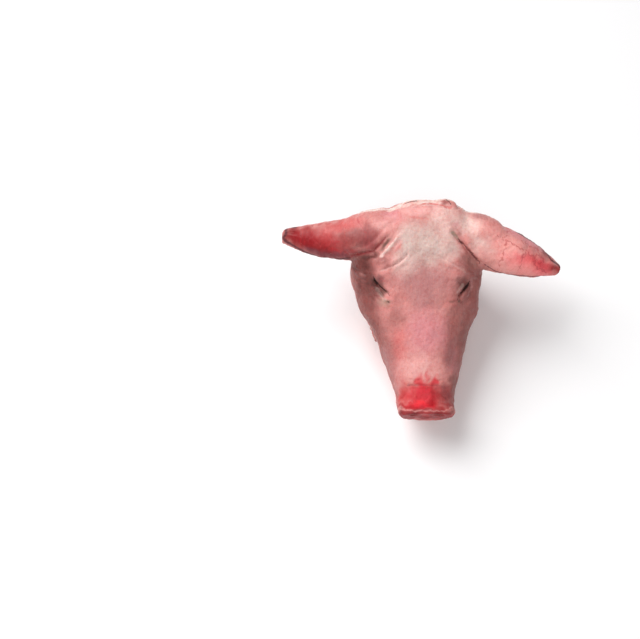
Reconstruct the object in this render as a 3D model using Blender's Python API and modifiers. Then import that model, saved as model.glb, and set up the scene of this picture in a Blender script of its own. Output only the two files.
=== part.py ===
"""A pig's head as a butcher sells it: one solid head with its ears, cheeks trimmed off, lying on its jaw.

Metres, +Z up. The snout points along -Y and the neck along +Y. The head's left-hand ear is on -X.
The origin is on the surface that the head lies on, under the middle of its box.
"""

import math

import bmesh
import bpy
import numpy as np
from mathutils import Matrix, Vector

MM = 0.001

# Face and skull: y, half width, height of the widest point, top, bottom, upper and lower roundness
FACE_SECTIONS = (
    (-138, 33, 63, 78, 37, 2.4, 1.8),
    (-132, 36.5, 64, 81.5, 34, 2.4, 1.8),
    (-124, 36, 54, 75, 34, 2.5, 2.1),
    (-104, 38.5, 54, 81, 35, 2.4, 2.3),
    (-80, 45, 56, 92, 38, 2.3, 2.4),
    (-50, 54, 62, 106, 42, 2.3, 2.3),
    (-20, 64, 74, 121, 42, 2.3, 2.2),
    (10, 77, 92, 139, 42, 2.3, 2.2),
    (40, 85.5, 104, 157, 42, 2.4, 2.2),
    (70, 83, 108, 173, 46, 2.4, 2.3),
    (98, 72, 112, 178, 52, 2.3, 2.3),
    (118, 57, 112, 169, 60, 2.2, 2.3),
)
# The snout's flat face: sizes of its inner rings, and how far it leans forward above one height
SNOUT_FACE_SCALES = (0.35, 0.7, 0.92)
SNOUT_Y = -138
SNOUT_LEAN = 0.12
SNOUT_LEAN_Z = 65
SNOUT_LEAN_FROM = -88
SNOUT_LEAN_FADE = 40

# Lower jaw with the chin and the floor of the mouth
JAW_SECTIONS = (
    (-121, 15, 22, 31, 12, 2.2, 2.0),
    (-114, 24, 23, 37, 5, 2.3, 2.0),
    (-96, 31, 23, 41, -1, 2.4, 2.2),
    (-70, 37, 25, 46, -4, 2.6, 2.4),
    (-35, 44, 28, 52, -5, 2.6, 2.6),
    (5, 52, 32, 60, -5, 2.6, 2.8),
    (45, 58, 36, 70, -4, 2.5, 2.8),
    (80, 58, 42, 74, -1, 2.3, 2.5),
    (100, 50, 46, 72, 10, 2.2, 2.2),
)

# Flesh on the jaw behind the corner of the mouth, where the cheek was cut off
CHEEK_SECTIONS = (
    (-30, 38, 56, 78, 20, 2.2, 2.2),
    (-10, 55, 56, 90, 6, 2.4, 2.4),
    (20, 64, 54, 104, 0, 2.5, 2.5),
    (60, 68, 56, 116, 0, 2.6, 2.6),
    (92, 63, 64, 122, 6, 2.5, 2.5),
    (110, 54, 74, 116, 26, 2.3, 2.3),
)

# How far the middle of the head is drawn to its right at each place along it, as it lies
DRAWN = (
    (-140, -1.5), (-100, -1.5), (-60, -2.0), (-20, -5.0), (20, -9.5),
    (50, -11.0), (80, -4.0), (100, 0.0), (130, 1.0),
)
# The ears stay where they are from this far out, over a short fade
DRAWN_REACH = 112
DRAWN_FADE = 20

# Nostrils: place of each, its radii across and up, depth, turn inwards and taper
NOSTRIL_X = 15
NOSTRIL_Z = 69
NOSTRIL_RADII = (8.5, 6.0)
NOSTRIL_DEPTH = 18
NOSTRIL_TURN = 12
NOSTRIL_TAPER = 0.55

# Ears: root, bend and tip of each ear's back line, the direction that its back faces, how far
# its edges stand from that line, and the centre and radii of the mound that it grows from
EARS = {
    "left": dict(
        root=(-44, 82, 160),
        bend=(-110, 62.5, 155),
        tip=(-186, 90.5, 126),
        back=(-0.1, -0.3, 1.0),
        widths=((0, 31), (0.2, 29), (0.36, 27.5), (0.53, 25), (0.72, 20.5), (0.9, 13), (1, 8)),
        mound=((-53, 81, 145), (60, 35, 26)),
    ),
    "right": dict(
        root=(44, 80, 160),
        bend=(114, 55, 158),
        tip=(177, 51, 104),
        back=(0.3, -0.25, 1.0),
        widths=((0, 28), (0.2, 26.5), (0.42, 29), (0.6, 27.5), (0.8, 20), (0.93, 11), (1, 7)),
        mound=((49, 80, 142), (55, 33, 25)),
    ),
}
# The ears' thickness and curl, and the area at their roots where they run into the head
EAR_THICKNESS = 5.0
EAR_CURLS = ((0.0, 1.7), (0.25, 1.5), (0.5, 1.3), (0.75, 1.3), (1.0, 1.4))
EAR_BLEND_CENTRE = (66, 70, 152)
EAR_BLEND_RADII = (60, 46, 42)
EAR_BLEND_STEPS = 70
EAR_REACH = 84
EAR_UNDERSIDE = 118
EAR_ROOT_X = 60
EAR_FADE = 8

# Cheek muscle, laid bare where the cheek was cut off: centre and radii of each lobe
MUSCLE_LOBES = (
    (57, 60, 62, 20, 38, 34),
    (56, 78, 72, 19, 28, 30),
    (54, 44, 44, 19, 26, 24),
)
MUSCLE_TILT = 25
# Lumps of fat and meat beside the cheek muscle: centre and radii
CHEEK_LUMPS = (
    (51, 2, 34, 14, 24, 18),
    (52, 24, 14, 13, 24, 12),
    (57, 100, 98, 13, 15, 24),
    (50, 103, 62, 12, 13, 20),
    (59, 34, 92, 10, 26, 13),
)

# Flesh of the neck, cut through: sections as above, the dish of the cut, and the muscle bellies
# that stand out of it, each as x, z, its two radii and its height
NECK_SECTIONS = (
    (80, 30, 108, 142, 66, 2.0, 2.0),
    (88, 40, 108, 150, 52, 2.0, 2.0),
    (100, 45, 108, 154, 46, 2.0, 2.0),
    (128, 45, 108, 154, 46, 2.0, 2.0),
)
DISH_CENTRE = (0, 134, 100)
DISH_RADII = (58, 30, 62)
NECK_PROUD = 2.5
NECK_ENDS = ((40, 114), (60, 114), (80, 117.5), (95, 120.5), (110, 121), (170, 121))
NECK_BELLIES = (
    (20, 134, 18, 16, 5.0),
    (33, 108, 12, 19, 5.5),
    (13, 108, 12, 11, 6.0),
    (28, 80, 15, 18, 5.0),
    (0, 62, 14, 14, 6.0),
)
SPINE_HOLE = (0, 121, 9, 8, -12.0)
NECK_SOFT_CENTRE = (0, 110, 104)
NECK_SOFT_RADII = (70, 30, 80)
NECK_SOFT_STEPS = 6

# Loose edges of skin that stand up at the nape: centre and radii
NAPE_FLAPS = ((20, 109, 168.5, 17, 9, 6), (-19, 107.5, 167.5, 15, 9, 5))

# Cheek cut, seen from the side: the line along which the skin was cut, and the chin's own edge
CUT_LINE = ((-28, 58), (5, 73), (38, 97), (66, 119), (92, 144), (112, 176))
CHIN_EDGE = ((0, -14), (30, -20), (58, -28))
# Width of the cut's edge band, the flanks that it lies on, its ripples and the skin's thickness
CUT_BAND = 3.0
CUT_SIDE_FROM = 25
CUT_SIDE_NORMAL = 0.3
CUT_RIPPLES = ((1.6, 0.31, 0.0), (1.1, 0.73, 1.0))
CHIN_RIPPLE = (1.2, 0.5)
SKIN_THICKNESS = 4.0
RIM_Y = 106
RIM_FADE = 6

# Soft mounds and hollows on both sides of the face: centre, radii and height
FACE_MOUNDS = (
    ((57, 10, 121), (26, 26, 26), -7.0),
    ((46, 32, 144), (26, 20, 20), 4.0),
    ((70, -6, 90), (24, 34, 22), 4.0),
    ((36, -62, 84), (16, 44, 20), -3.0),
    ((58, 10, 121), (11, 17, 12), 4.0),
    ((60, 38, 142), (18, 18, 18), -3.0),
    ((22, -118, 78), (16, 14, 12), 2.0),
)
MIDDLE_MOUNDS = (
    ((0, 24, 150), (34, 40, 30), -3.0),
    ((0, -138, 64), (27, 12, 15), -2.5),
    ((-51, -56, 52), (11, 16, 10), 2.5),
)

# Folds of the skin on both sides: the line of each, its width and its depth
FOLDS = (
    (((45, -1, 116), (54, 9, 121), (63, 22, 122)), 4.5, 4.0),
    (((33, -120, 35), (38, -100, 37), (44, -70, 42), (51, -45, 50), (55, -28, 57)), 4.0, 4.0),
    (((20, 40, 158), (34, 28, 150), (48, 26, 145)), 4.0, 1.6),
)
MIDDLE_FOLDS = (
    (((-24, -104, 78), (0, -107, 82), (24, -104, 78)), 5.0, 1.0),
    (((-97, 44, 150), (-78, 49, 156), (-62, 60, 160), (-47, 72, 167), (-36, 86, 174)), 9.0, 2.5),
    (((48, 68, 165), (56, 56, 159), (66, 44, 153), (78, 33, 144)), 6.5, 2.6),
)

# Mesh size, the gap between solids, the triangle counts and how far the surfaces are evened out
VOXEL = 2.0
GAP = 0.35
HEAD_TRIANGLES = 9800
MUSCLE_TRIANGLES = 520
NECK_TRIANGLES = 1000
FACE_SMOOTHING = 4
MUSCLE_SMOOTHING = 12
SMOOTH_SHARE = 0.5
FLOOR_SIDE = 0.6
FLOOR_DEPTH = 0.1

SKIN_COLOUR = (0.62, 0.33, 0.29)
MUSCLE_COLOUR = (0.45, 0.25, 0.27)
FLESH_COLOUR = (0.55, 0.18, 0.15)


def smooth_value(knots, column, at):
    """Values of one column of a table at the given places, on a smooth curve through the knots."""
    table = np.array([(k[0], k[column]) for k in knots], float)
    x, v = table[:, 0], table[:, 1]
    slope = np.gradient(v, x)
    at = np.clip(np.asarray(at, float), x[0], x[-1])
    i = np.clip(np.searchsorted(x, at, side="right") - 1, 0, len(x) - 2)
    h = x[i + 1] - x[i]
    t = (at - x[i]) / h
    return (
        (2 * t**3 - 3 * t**2 + 1) * v[i]
        + (t**3 - 2 * t**2 + t) * h * slope[i]
        + (-2 * t**3 + 3 * t**2) * v[i + 1]
        + (t**3 - t**2) * h * slope[i + 1]
    )


def falloff(distance):
    """1 at a distance of 0, smoothly down to 0 at 1."""
    return np.clip(1 - np.asarray(distance) ** 2, 0, 1) ** 2


def new_object(name, mesh, collection):
    """An object with this mesh, in this collection."""
    made = bpy.data.objects.new(name, mesh)
    collection.objects.link(made)
    return made


def loft(name, rings, collection):
    """A closed body through rings of points, with a face at each end."""
    bm = bmesh.new()
    rows = [[bm.verts.new(Vector(p) * MM) for p in ring] for ring in rings]
    for low, high in zip(rows, rows[1:]):
        for i, start in enumerate(low):
            after = (i + 1) % len(low)
            bm.faces.new((start, low[after], high[after], high[i]))
    bm.faces.new(rows[0])
    bm.faces.new(rows[-1])
    bmesh.ops.recalc_face_normals(bm, faces=bm.faces)
    mesh = bpy.data.meshes.new(name)
    bm.to_mesh(mesh)
    bm.free()
    return new_object(name, mesh, collection)


def section(table, y, scale=1.0, points=64):
    """One cross-section of a table of sections: rounder or squarer above and below its widest point."""
    width, middle, top, bottom, upper, lower = (smooth_value(table, c, y) for c in range(1, 7))
    ring = []
    for step in range(points):
        angle = 2 * math.pi * step / points
        c, s = math.cos(angle), math.sin(angle)
        power = 2 / (upper if s >= 0 else lower)
        reach = (top if s >= 0 else bottom) - middle
        x = width * math.copysign(abs(c) ** power, c)
        z = abs(reach) * math.copysign(abs(s) ** power, s)
        centre = (top + bottom) / 2
        ring.append((x * scale, y, centre + (middle + z - centre) * scale))
    return ring


def sectioned_body(name, table, collection, stations=44, nose_scales=()):
    """A body lofted through a table of sections."""
    first, last = table[0][0], table[-1][0]
    rings = [section(table, first, scale) for scale in nose_scales]
    rings += [section(table, y) for y in np.linspace(first, last, stations)]
    return loft(name, rings, collection)


def ellipsoid(name, centre, radii, collection, tilt=0.0, segments=32):
    """A ball drawn out to three radii, in millimetres, and tilted about X."""
    bm = bmesh.new()
    bmesh.ops.create_uvsphere(bm, u_segments=segments, v_segments=segments // 2, radius=MM)
    place = (
        Matrix.Translation(Vector(centre) * MM)
        @ Matrix.Rotation(math.radians(tilt), 4, "X")
        @ Matrix.Diagonal((*radii, 1))
    )
    bmesh.ops.transform(bm, matrix=place, verts=bm.verts)
    mesh = bpy.data.meshes.new(name)
    bm.to_mesh(mesh)
    bm.free()
    return new_object(name, mesh, collection)


def ear_sheet(name, ear, collection, along=36, across=22):
    """An ear: a leaf-shaped sheet curled about its length, given its thickness."""
    bm = bmesh.new()
    bmesh.ops.create_grid(bm, x_segments=along, y_segments=across, size=1.0)
    root, bend, tip, back = (Vector(ear[word]) for word in ("root", "bend", "tip", "back"))
    for vert in bm.verts:
        u = (vert.co.x + 1) / 2
        line = root * (1 - u) ** 2 + bend * 2 * u * (1 - u) + tip * u * u
        ahead = ((bend - root) * (1 - u) + (tip - bend) * u).normalized()
        up = (back - ahead * ahead.dot(back)).normalized()
        side = ahead.cross(up)
        curl = float(smooth_value(EAR_CURLS, 1, u))
        radius = float(smooth_value(ear["widths"], 1, u)) / math.sin(min(curl, math.pi / 2))
        turn = vert.co.y * curl
        vert.co = (line + side * radius * math.sin(turn) + up * radius * (math.cos(turn) - 1)) * MM
    mesh = bpy.data.meshes.new(name)
    bm.to_mesh(mesh)
    bm.free()
    made = new_object(name, mesh, collection)
    wall = made.modifiers.new("thickness", "SOLIDIFY")
    wall.thickness = EAR_THICKNESS * MM
    wall.offset = 0.0
    return made


def nostril_cutter(name, side, collection):
    """A tapered hole that runs back and inwards from the snout's face."""
    bm = bmesh.new()
    bmesh.ops.create_cone(
        bm, cap_ends=True, segments=20, radius1=NOSTRIL_TAPER, radius2=1.0, depth=2 * NOSTRIL_DEPTH
    )
    place = (
        Matrix.Translation(Vector((side * NOSTRIL_X, SNOUT_Y, NOSTRIL_Z)) * MM)
        @ Matrix.Rotation(math.radians(side * NOSTRIL_TURN), 4, "Z")
        @ Matrix.Rotation(math.radians(90), 4, "X")
        @ Matrix.Diagonal((NOSTRIL_RADII[0] * MM, NOSTRIL_RADII[1] * MM, MM, 1))
    )
    bmesh.ops.transform(bm, matrix=place, verts=bm.verts)
    mesh = bpy.data.meshes.new(name)
    bm.to_mesh(mesh)
    bm.free()
    return new_object(name, mesh, collection)


def evaluated_mesh(obj):
    """A plain mesh of the object with its modifiers applied."""
    bpy.context.view_layer.update()
    graph = bpy.context.evaluated_depsgraph_get()
    return bpy.data.meshes.new_from_object(obj.evaluated_get(graph))


def apply_modifiers(obj):
    """Replaces the object's mesh by its evaluated one."""
    made = evaluated_mesh(obj)
    obj.modifiers.clear()
    obj.data = made


def boolean(obj, cutter, operation):
    """Adds a Boolean with the exact solver and applies it."""
    step = obj.modifiers.new(operation.lower(), "BOOLEAN")
    step.operation = operation
    step.object = cutter
    step.solver = "EXACT"
    apply_modifiers(obj)


def fuse(name, pieces, collection, smoothing=FACE_SMOOTHING):
    """One smooth closed body out of overlapping pieces, which are removed."""
    bm = bmesh.new()
    for piece in pieces:
        made = evaluated_mesh(piece)
        bm.from_mesh(made)
        bpy.data.objects.remove(piece)
    mesh = bpy.data.meshes.new(name)
    bm.to_mesh(mesh)
    bm.free()
    body = new_object(name, mesh, collection)
    grid = body.modifiers.new("fuse", "REMESH")
    grid.mode = "VOXEL"
    grid.voxel_size = VOXEL * MM
    soft = body.modifiers.new("soften", "SMOOTH")
    soft.factor = SMOOTH_SHARE
    soft.iterations = smoothing
    apply_modifiers(body)
    return body


def drop_scraps(obj):
    """Keeps only the largest of the mesh's separate bodies."""
    bm = bmesh.new()
    bm.from_mesh(obj.data)
    left = set(bm.verts)
    bodies = []
    while left:
        body, edge = set(), {left.pop()}
        while edge:
            body |= edge
            edge = {e.other_vert(v) for v in edge for e in v.link_edges} - body
        left -= body
        bodies.append(body)
    bodies.sort(key=len)
    for body in bodies[:-1]:
        bmesh.ops.delete(bm, geom=list(body), context="VERTS")
    bm.to_mesh(obj.data)
    bm.free()


def simplify(obj, triangles):
    """Cuts the mesh down to this many triangles, keeping the form."""
    grid = obj.modifiers.new("triangles", "TRIANGULATE")
    grid.min_vertices = 4
    apply_modifiers(obj)
    count = len(obj.data.polygons)
    fewer = obj.modifiers.new("fewer", "DECIMATE")
    fewer.ratio = min(1.0, triangles / count)
    apply_modifiers(obj)


def points_of(mesh):
    """The mesh's points in millimetres."""
    flat = np.empty(len(mesh.vertices) * 3)
    mesh.vertices.foreach_get("co", flat)
    return flat.reshape(-1, 3) / MM


def normals_of(mesh):
    """The mesh's normals at its points."""
    flat = np.empty(len(mesh.vertices) * 3)
    mesh.vertex_normals.foreach_get("vector", flat)
    return flat.reshape(-1, 3)


def set_points(mesh, points):
    """Moves the mesh's points to these places, in millimetres."""
    mesh.vertices.foreach_set("co", (points * MM).ravel())
    mesh.update()


def push(points, normals, centre, radii, height):
    """Raises, or with a negative height sinks, a soft round area of the surface."""
    near = falloff(np.linalg.norm((points - np.array(centre)) / np.array(radii), axis=1))
    return points + normals * (near * height)[:, None]


def line_distance(points, line):
    """Distance from each point to a line of straight runs."""
    line = np.array(line, float)
    best = np.full(len(points), 1e9)
    for start, end in zip(line, line[1:]):
        run = end - start
        t = np.clip(((points - start) @ run) / (run @ run), 0, 1)
        best = np.minimum(best, np.linalg.norm(points - start - t[:, None] * run, axis=1))
    return best


def groove(points, normals, line, width, depth):
    """Sinks a narrow fold along a line in space."""
    return points - normals * (falloff(line_distance(points, line) / width) * depth)[:, None]


def mirrored(place):
    """The same place on the other side of the head."""
    return (-place[0], *place[1:])


def bared(points):
    """How far inside the cheek cut each point lies, from 0 on the skin to 1 on the bared flesh."""
    y, z = points[:, 1], points[:, 2]
    ripple = sum(height * np.sin(y * pace + start) for height, pace, start in CUT_RIPPLES)
    below = smooth_value(CUT_LINE, 1, y) + ripple - z
    height, pace = CHIN_RIPPLE
    behind = y - smooth_value(CHIN_EDGE, 1, z) - height * np.sin(z * pace)
    return np.clip(np.minimum(below, behind) / CUT_BAND, 0, 1)


def bare_depth(points, normals):
    """How much skin and fat the cheek cut takes off at each point of the head's sides."""
    out = np.abs(points[:, 0])
    over = np.clip((points[:, 2] - EAR_UNDERSIDE) / EAR_FADE, 0, 1)
    root = over * np.clip((out - EAR_ROOT_X) / EAR_FADE, 0, 1)
    ear = np.maximum(root, np.clip((out - EAR_REACH) / RIM_FADE, 0, 1))
    sides = np.clip(np.abs(normals[:, 0]) / CUT_SIDE_NORMAL - 1, 0, 1)
    sides *= np.clip((out - CUT_SIDE_FROM) / EAR_FADE, 0, 1)
    sides *= (1 - ear) * np.clip((RIM_Y - points[:, 1]) / RIM_FADE, 0, 1)
    return bared(points) * sides * SKIN_THICKNESS


def soften(body, centre, radii, iterations):
    """Smooths a round area on both sides of the body, so that fused pieces flow into each other."""
    points = points_of(body.data)
    group = body.vertex_groups.new(name="soften")
    for side in (1, -1):
        place = np.array((centre[0] * side, centre[1], centre[2]))
        near = falloff(np.linalg.norm((points - place) / np.array(radii), axis=1))
        for index in np.nonzero(near)[0]:
            group.add([int(index)], float(near[index]), "ADD")
    soft = body.modifiers.new("soften", "SMOOTH")
    soft.factor = SMOOTH_SHARE
    soft.iterations = iterations
    soft.vertex_group = group.name
    apply_modifiers(body)
    body.vertex_groups.clear()


def dish(points, proud=0.0):
    """How far back the dished neck cut lies at each point."""
    across = (points[:, 0] - DISH_CENTRE[0]) / DISH_RADII[0]
    up = (points[:, 2] - DISH_CENTRE[2]) / DISH_RADII[2]
    inside = np.sqrt(np.clip(1 - across**2 - up**2, 0, 1))
    return DISH_CENTRE[1] + proud - DISH_RADII[1] * inside


def sculpt_head(body):
    """Gives the fused head its brows, eyes, cheekbones, folds, neck cut and cheek cut."""
    mesh = body.data
    points = points_of(mesh)
    normals = normals_of(mesh)
    for centre, radii, height in FACE_MOUNDS:
        points = push(points, normals, centre, radii, height)
        points = push(points, normals, mirrored(centre), radii, height)
    for centre, radii, height in MIDDLE_MOUNDS:
        points = push(points, normals, centre, radii, height)
    for line, width, depth in FOLDS:
        points = groove(points, normals, line, width, depth)
        points = groove(points, normals, [mirrored(place) for place in line], width, depth)
    for line, width, depth in MIDDLE_FOLDS:
        points = groove(points, normals, line, width, depth)
    points = points - normals * bare_depth(points, normals)[:, None]
    inner = np.abs(points[:, 0]) < EAR_REACH
    points[:, 1] = np.where(inner, np.minimum(points[:, 1], dish(points)), points[:, 1])
    front = 1 - falloff(np.clip((SNOUT_LEAN_FROM - points[:, 1]) / SNOUT_LEAN_FADE, 0, 1))
    points[:, 1] -= (points[:, 2] - SNOUT_LEAN_Z) * SNOUT_LEAN * front
    set_points(mesh, points)


def swollen(obj, gap, collection):
    """A copy of the object that is larger by the gap all round, to cut its socket."""
    copy = new_object(obj.name + "_socket", obj.data.copy(), collection)
    points = points_of(copy.data)
    set_points(copy.data, points + normals_of(copy.data) * gap)
    return copy


def face_and_jaw(collection):
    """The skin-covered body of the head, still in overlapping pieces."""
    face = sectioned_body("face", FACE_SECTIONS, collection, nose_scales=SNOUT_FACE_SCALES)
    for side, word in ((-1, "left"), (1, "right")):
        cutter = nostril_cutter("nostril_" + word, side, collection)
        boolean(face, cutter, "DIFFERENCE")
        bpy.data.objects.remove(cutter)
    jaw = sectioned_body("jaw", JAW_SECTIONS, collection)
    cheeks = sectioned_body("cheeks", CHEEK_SECTIONS, collection)
    lumps = [*NAPE_FLAPS, *CHEEK_LUMPS, *map(mirrored, CHEEK_LUMPS)]
    balls = [
        ellipsoid(f"lump_{n}", (x, y, z), radii, collection)
        for n, (x, y, z, *radii) in enumerate(lumps)
    ]
    return [face, jaw, cheeks, *balls]


def ears(collection):
    """Both ears and the mounds that they grow from."""
    pieces = []
    for word, ear in EARS.items():
        centre, radii = ear["mound"]
        pieces.append(ellipsoid("mound_" + word, centre, radii, collection))
        pieces.append(ear_sheet("ear_" + word, ear, collection))
    return pieces


def cheek_muscle(side, word, collection):
    """One bared cheek muscle, a rounded mass of three lobes."""
    lobes = [
        ellipsoid(f"lobe_{n}", (side * x, y, z), (rx, ry, rz), collection, MUSCLE_TILT)
        for n, (x, y, z, rx, ry, rz) in enumerate(MUSCLE_LOBES)
    ]
    return fuse("cheek_muscle_" + word, lobes, collection, smoothing=MUSCLE_SMOOTHING)


def neck_flesh(collection):
    """The flesh at the neck cut, dished, with its muscle bellies and the hole of the spine."""
    plug = sectioned_body("plug", NECK_SECTIONS, collection)
    flesh = fuse("neck_flesh", [plug], collection)
    points = points_of(flesh.data)
    ends = np.minimum(dish(points, NECK_PROUD), smooth_value(NECK_ENDS, 1, points[:, 2]))
    both = [(-x, *rest) for x, *rest in NECK_BELLIES if x]
    for x, z, across, up, height in (*NECK_BELLIES, *both, SPINE_HOLE):
        away = np.hypot((points[:, 0] - x) / across, (points[:, 2] - z) / up)
        ends = ends + falloff(away) * height
    points[:, 1] = np.minimum(points[:, 1], ends)
    set_points(flesh.data, points)
    soften(flesh, NECK_SOFT_CENTRE, NECK_SOFT_RADII, NECK_SOFT_STEPS)
    return flesh


def draw_over(obj):
    """Draws the head to one side, as it lies; the ears keep their place."""
    points = points_of(obj.data)
    near = np.clip((DRAWN_REACH - np.abs(points[:, 0])) / DRAWN_FADE, 0, 1)
    points[:, 0] += smooth_value(DRAWN, 1, points[:, 1]) * near
    set_points(obj.data, points)


def stand_at_origin(objects):
    """Puts the origin under the middle of the whole head's box."""
    every = np.concatenate([points_of(obj.data) for obj in objects])
    middle = (every.min(axis=0) + every.max(axis=0)) / 2
    for obj in objects:
        points = points_of(obj.data)
        points[:, :2] -= middle[:2]
        set_points(obj.data, points)


def floor_cutter(collection):
    """A block under the surface that the head lies on."""
    bm = bmesh.new()
    bmesh.ops.create_cube(bm, size=1.0)
    size = Matrix.Diagonal((FLOOR_SIDE, FLOOR_SIDE, FLOOR_DEPTH, 1))
    place = Matrix.Translation((0, 0, -FLOOR_DEPTH / 2)) @ size
    bmesh.ops.transform(bm, matrix=place, verts=bm.verts)
    mesh = bpy.data.meshes.new("floor")
    bm.to_mesh(mesh)
    bm.free()
    return new_object("floor_cutter", mesh, collection)


def finish_of(name, colour, roughness):
    """A plain material of one colour."""
    made = bpy.data.materials.new(name)
    made.use_nodes = True
    shader = made.node_tree.nodes["Principled BSDF"]
    shader.inputs["Base Color"].default_value = (*colour, 1)
    shader.inputs["Roughness"].default_value = roughness
    return made


def build():
    """Builds the head and its bared muscles."""
    for old in list(bpy.data.objects):
        bpy.data.objects.remove(old)
    scene = bpy.context.scene.collection
    parts = bpy.data.collections.new("pig_head")
    cutters = bpy.data.collections.new("cutters")
    scene.children.link(parts)
    scene.children.link(cutters)

    head = fuse("head", face_and_jaw(parts) + ears(parts), parts)
    soften(head, EAR_BLEND_CENTRE, EAR_BLEND_RADII, EAR_BLEND_STEPS)
    sculpt_head(head)
    muscles = [cheek_muscle(side, word, parts) for side, word in ((-1, "left"), (1, "right"))]
    flesh = neck_flesh(parts)
    for obj, triangles in (
        (head, HEAD_TRIANGLES),
        (flesh, NECK_TRIANGLES),
        (muscles[0], MUSCLE_TRIANGLES),
        (muscles[1], MUSCLE_TRIANGLES),
    ):
        draw_over(obj)
        simplify(obj, triangles)

    for inner in (flesh, *muscles):
        socket = swollen(inner, GAP, cutters)
        boolean(head, socket, "DIFFERENCE")
        if inner is flesh:
            for muscle in muscles:
                boolean(muscle, socket, "DIFFERENCE")
        bpy.data.objects.remove(socket)
    floor = floor_cutter(cutters)
    for obj in (head, flesh, *muscles):
        boolean(obj, floor, "DIFFERENCE")
        drop_scraps(obj)
    bpy.data.objects.remove(floor)
    stand_at_origin((head, flesh, *muscles))
    for obj in (head, flesh, *muscles):
        obj.data.shade_smooth()
    head.data.materials.append(finish_of("skin", SKIN_COLOUR, 0.5))
    flesh.data.materials.append(finish_of("flesh", FLESH_COLOUR, 0.4))
    for muscle in muscles:
        muscle.data.materials.append(finish_of("muscle", MUSCLE_COLOUR, 0.35))


build()
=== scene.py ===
"""The looks of a butcher's pig head: its skin, ears, eyes and snout, the bared cheeks and the neck cut.

Metres, +Z up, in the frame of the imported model. Sizes of the relief are in millimetres. The snout
points along -Y, and the head's left-hand ear is on -X. The main view is kept as a frame of 640 by
639 pixels, and what is placed in that frame is laid on the skin under its pixel.
"""

import logging
import math
from dataclasses import dataclass
from enum import Enum

import bmesh
import bpy
import numpy as np
from mathutils import Euler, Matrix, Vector
from mathutils.bvhtree import BVHTree

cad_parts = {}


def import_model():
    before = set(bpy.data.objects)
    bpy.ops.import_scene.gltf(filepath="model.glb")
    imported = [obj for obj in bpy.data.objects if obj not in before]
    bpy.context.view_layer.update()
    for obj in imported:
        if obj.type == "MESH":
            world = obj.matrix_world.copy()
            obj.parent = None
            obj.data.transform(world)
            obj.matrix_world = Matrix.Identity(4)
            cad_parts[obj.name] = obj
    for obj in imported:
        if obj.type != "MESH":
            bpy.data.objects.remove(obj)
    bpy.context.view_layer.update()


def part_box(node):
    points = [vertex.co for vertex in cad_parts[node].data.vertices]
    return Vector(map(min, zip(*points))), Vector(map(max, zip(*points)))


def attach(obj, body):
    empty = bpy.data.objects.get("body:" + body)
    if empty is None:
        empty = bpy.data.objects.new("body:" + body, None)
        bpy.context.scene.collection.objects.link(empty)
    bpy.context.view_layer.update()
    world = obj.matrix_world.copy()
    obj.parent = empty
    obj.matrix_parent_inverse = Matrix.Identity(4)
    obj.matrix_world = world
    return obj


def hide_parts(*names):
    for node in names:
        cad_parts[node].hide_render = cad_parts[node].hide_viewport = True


MM = 0.001
FRAME_WIDTH = 640
FRAME_HEIGHT = 639
BODY = "root"
LOG = logging.getLogger("pig_head")

Colour = tuple[float, float, float]
Pixel = tuple[float, float]
Line = tuple[Pixel, ...]


def linear(colour: Colour) -> Colour:
    """The linear-light value of a display colour that is given from 0 to 255."""
    return tuple(
        c / 12.92 if c <= 0.04045 else ((c + 0.055) / 1.055) ** 2.4
        for c in (part / 255 for part in colour)
    )


def falloff(distance: np.ndarray, core: float = 0.0) -> np.ndarray:
    """A soft fade with distance.

    Args:
        distance: distances, as shares of the reach.
        core: share of the reach that stays at full strength.

    Returns:
        1 inside the core, smoothly down to 0 at a distance of 1.
    """
    t = np.clip((1 - distance) / (1 - core), 0, 1)
    return t * t * (3 - 2 * t)


def step(values: np.ndarray, low: float, high: float) -> np.ndarray:
    """A smooth step of the values, from 0 at low to 1 at high."""
    t = np.clip((values - low) / (high - low), 0, 1)
    return t * t * (3 - 2 * t)


def waves(points: np.ndarray, length: float, seed: int, count: int = 24) -> np.ndarray:
    """An uneven field with no grain direction.

    Args:
        points: places, in millimetres.
        length: distance from one swell to the next, in millimetres.
        seed: picks one of many such fields.
        count: number of plane waves that are added up.

    Returns:
        One value a point, mostly from -2 to 2.
    """
    picks = np.random.default_rng(seed)
    ways = picks.normal(size=(count, 3))
    ways /= np.linalg.norm(ways, axis=1)[:, None]
    ways *= (2 * math.pi / length) * picks.uniform(0.6, 1.4, count)[:, None]
    phases = picks.uniform(0, 2 * math.pi, count)
    total = np.zeros(len(points))
    for way, phase in zip(ways, phases):
        total += np.sin(points @ way + phase)
    return total * math.sqrt(2 / count)


def line_distance(points: np.ndarray, line: np.ndarray) -> np.ndarray:
    """Measures how far points are from a line of straight runs.

    Args:
        points: places, in two or three dimensions.
        line: the line's corners.

    Returns:
        The distance of each point.
    """
    best = np.full(len(points), 1e9)
    for start, end in zip(line, line[1:]):
        run = end - start
        t = np.clip(((points - start) @ run) / max(run @ run, 1e-12), 0, 1)
        best = np.minimum(best, np.linalg.norm(points - start - t[:, None] * run, axis=1))
    return best


def along_curve(knots: tuple, at: np.ndarray) -> np.ndarray:
    """Reads a smooth curve.

    Args:
        knots: pairs of place and value that the curve goes through.
        at: the places to read it at.

    Returns:
        The curve's value at each place.
    """
    table = np.array(knots, float)
    x, v = table[:, 0], table[:, 1]
    slope = np.gradient(v, x)
    at = np.clip(at, x[0], x[-1])
    i = np.clip(np.searchsorted(x, at, side="right") - 1, 0, len(x) - 2)
    h = x[i + 1] - x[i]
    t = (at - x[i]) / h
    return (
        (2 * t**3 - 3 * t**2 + 1) * v[i]
        + (t**3 - 2 * t**2 + t) * h * slope[i]
        + (-2 * t**3 + 3 * t**2) * v[i + 1]
        + (t**3 - t**2) * h * slope[i + 1]
    )


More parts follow.
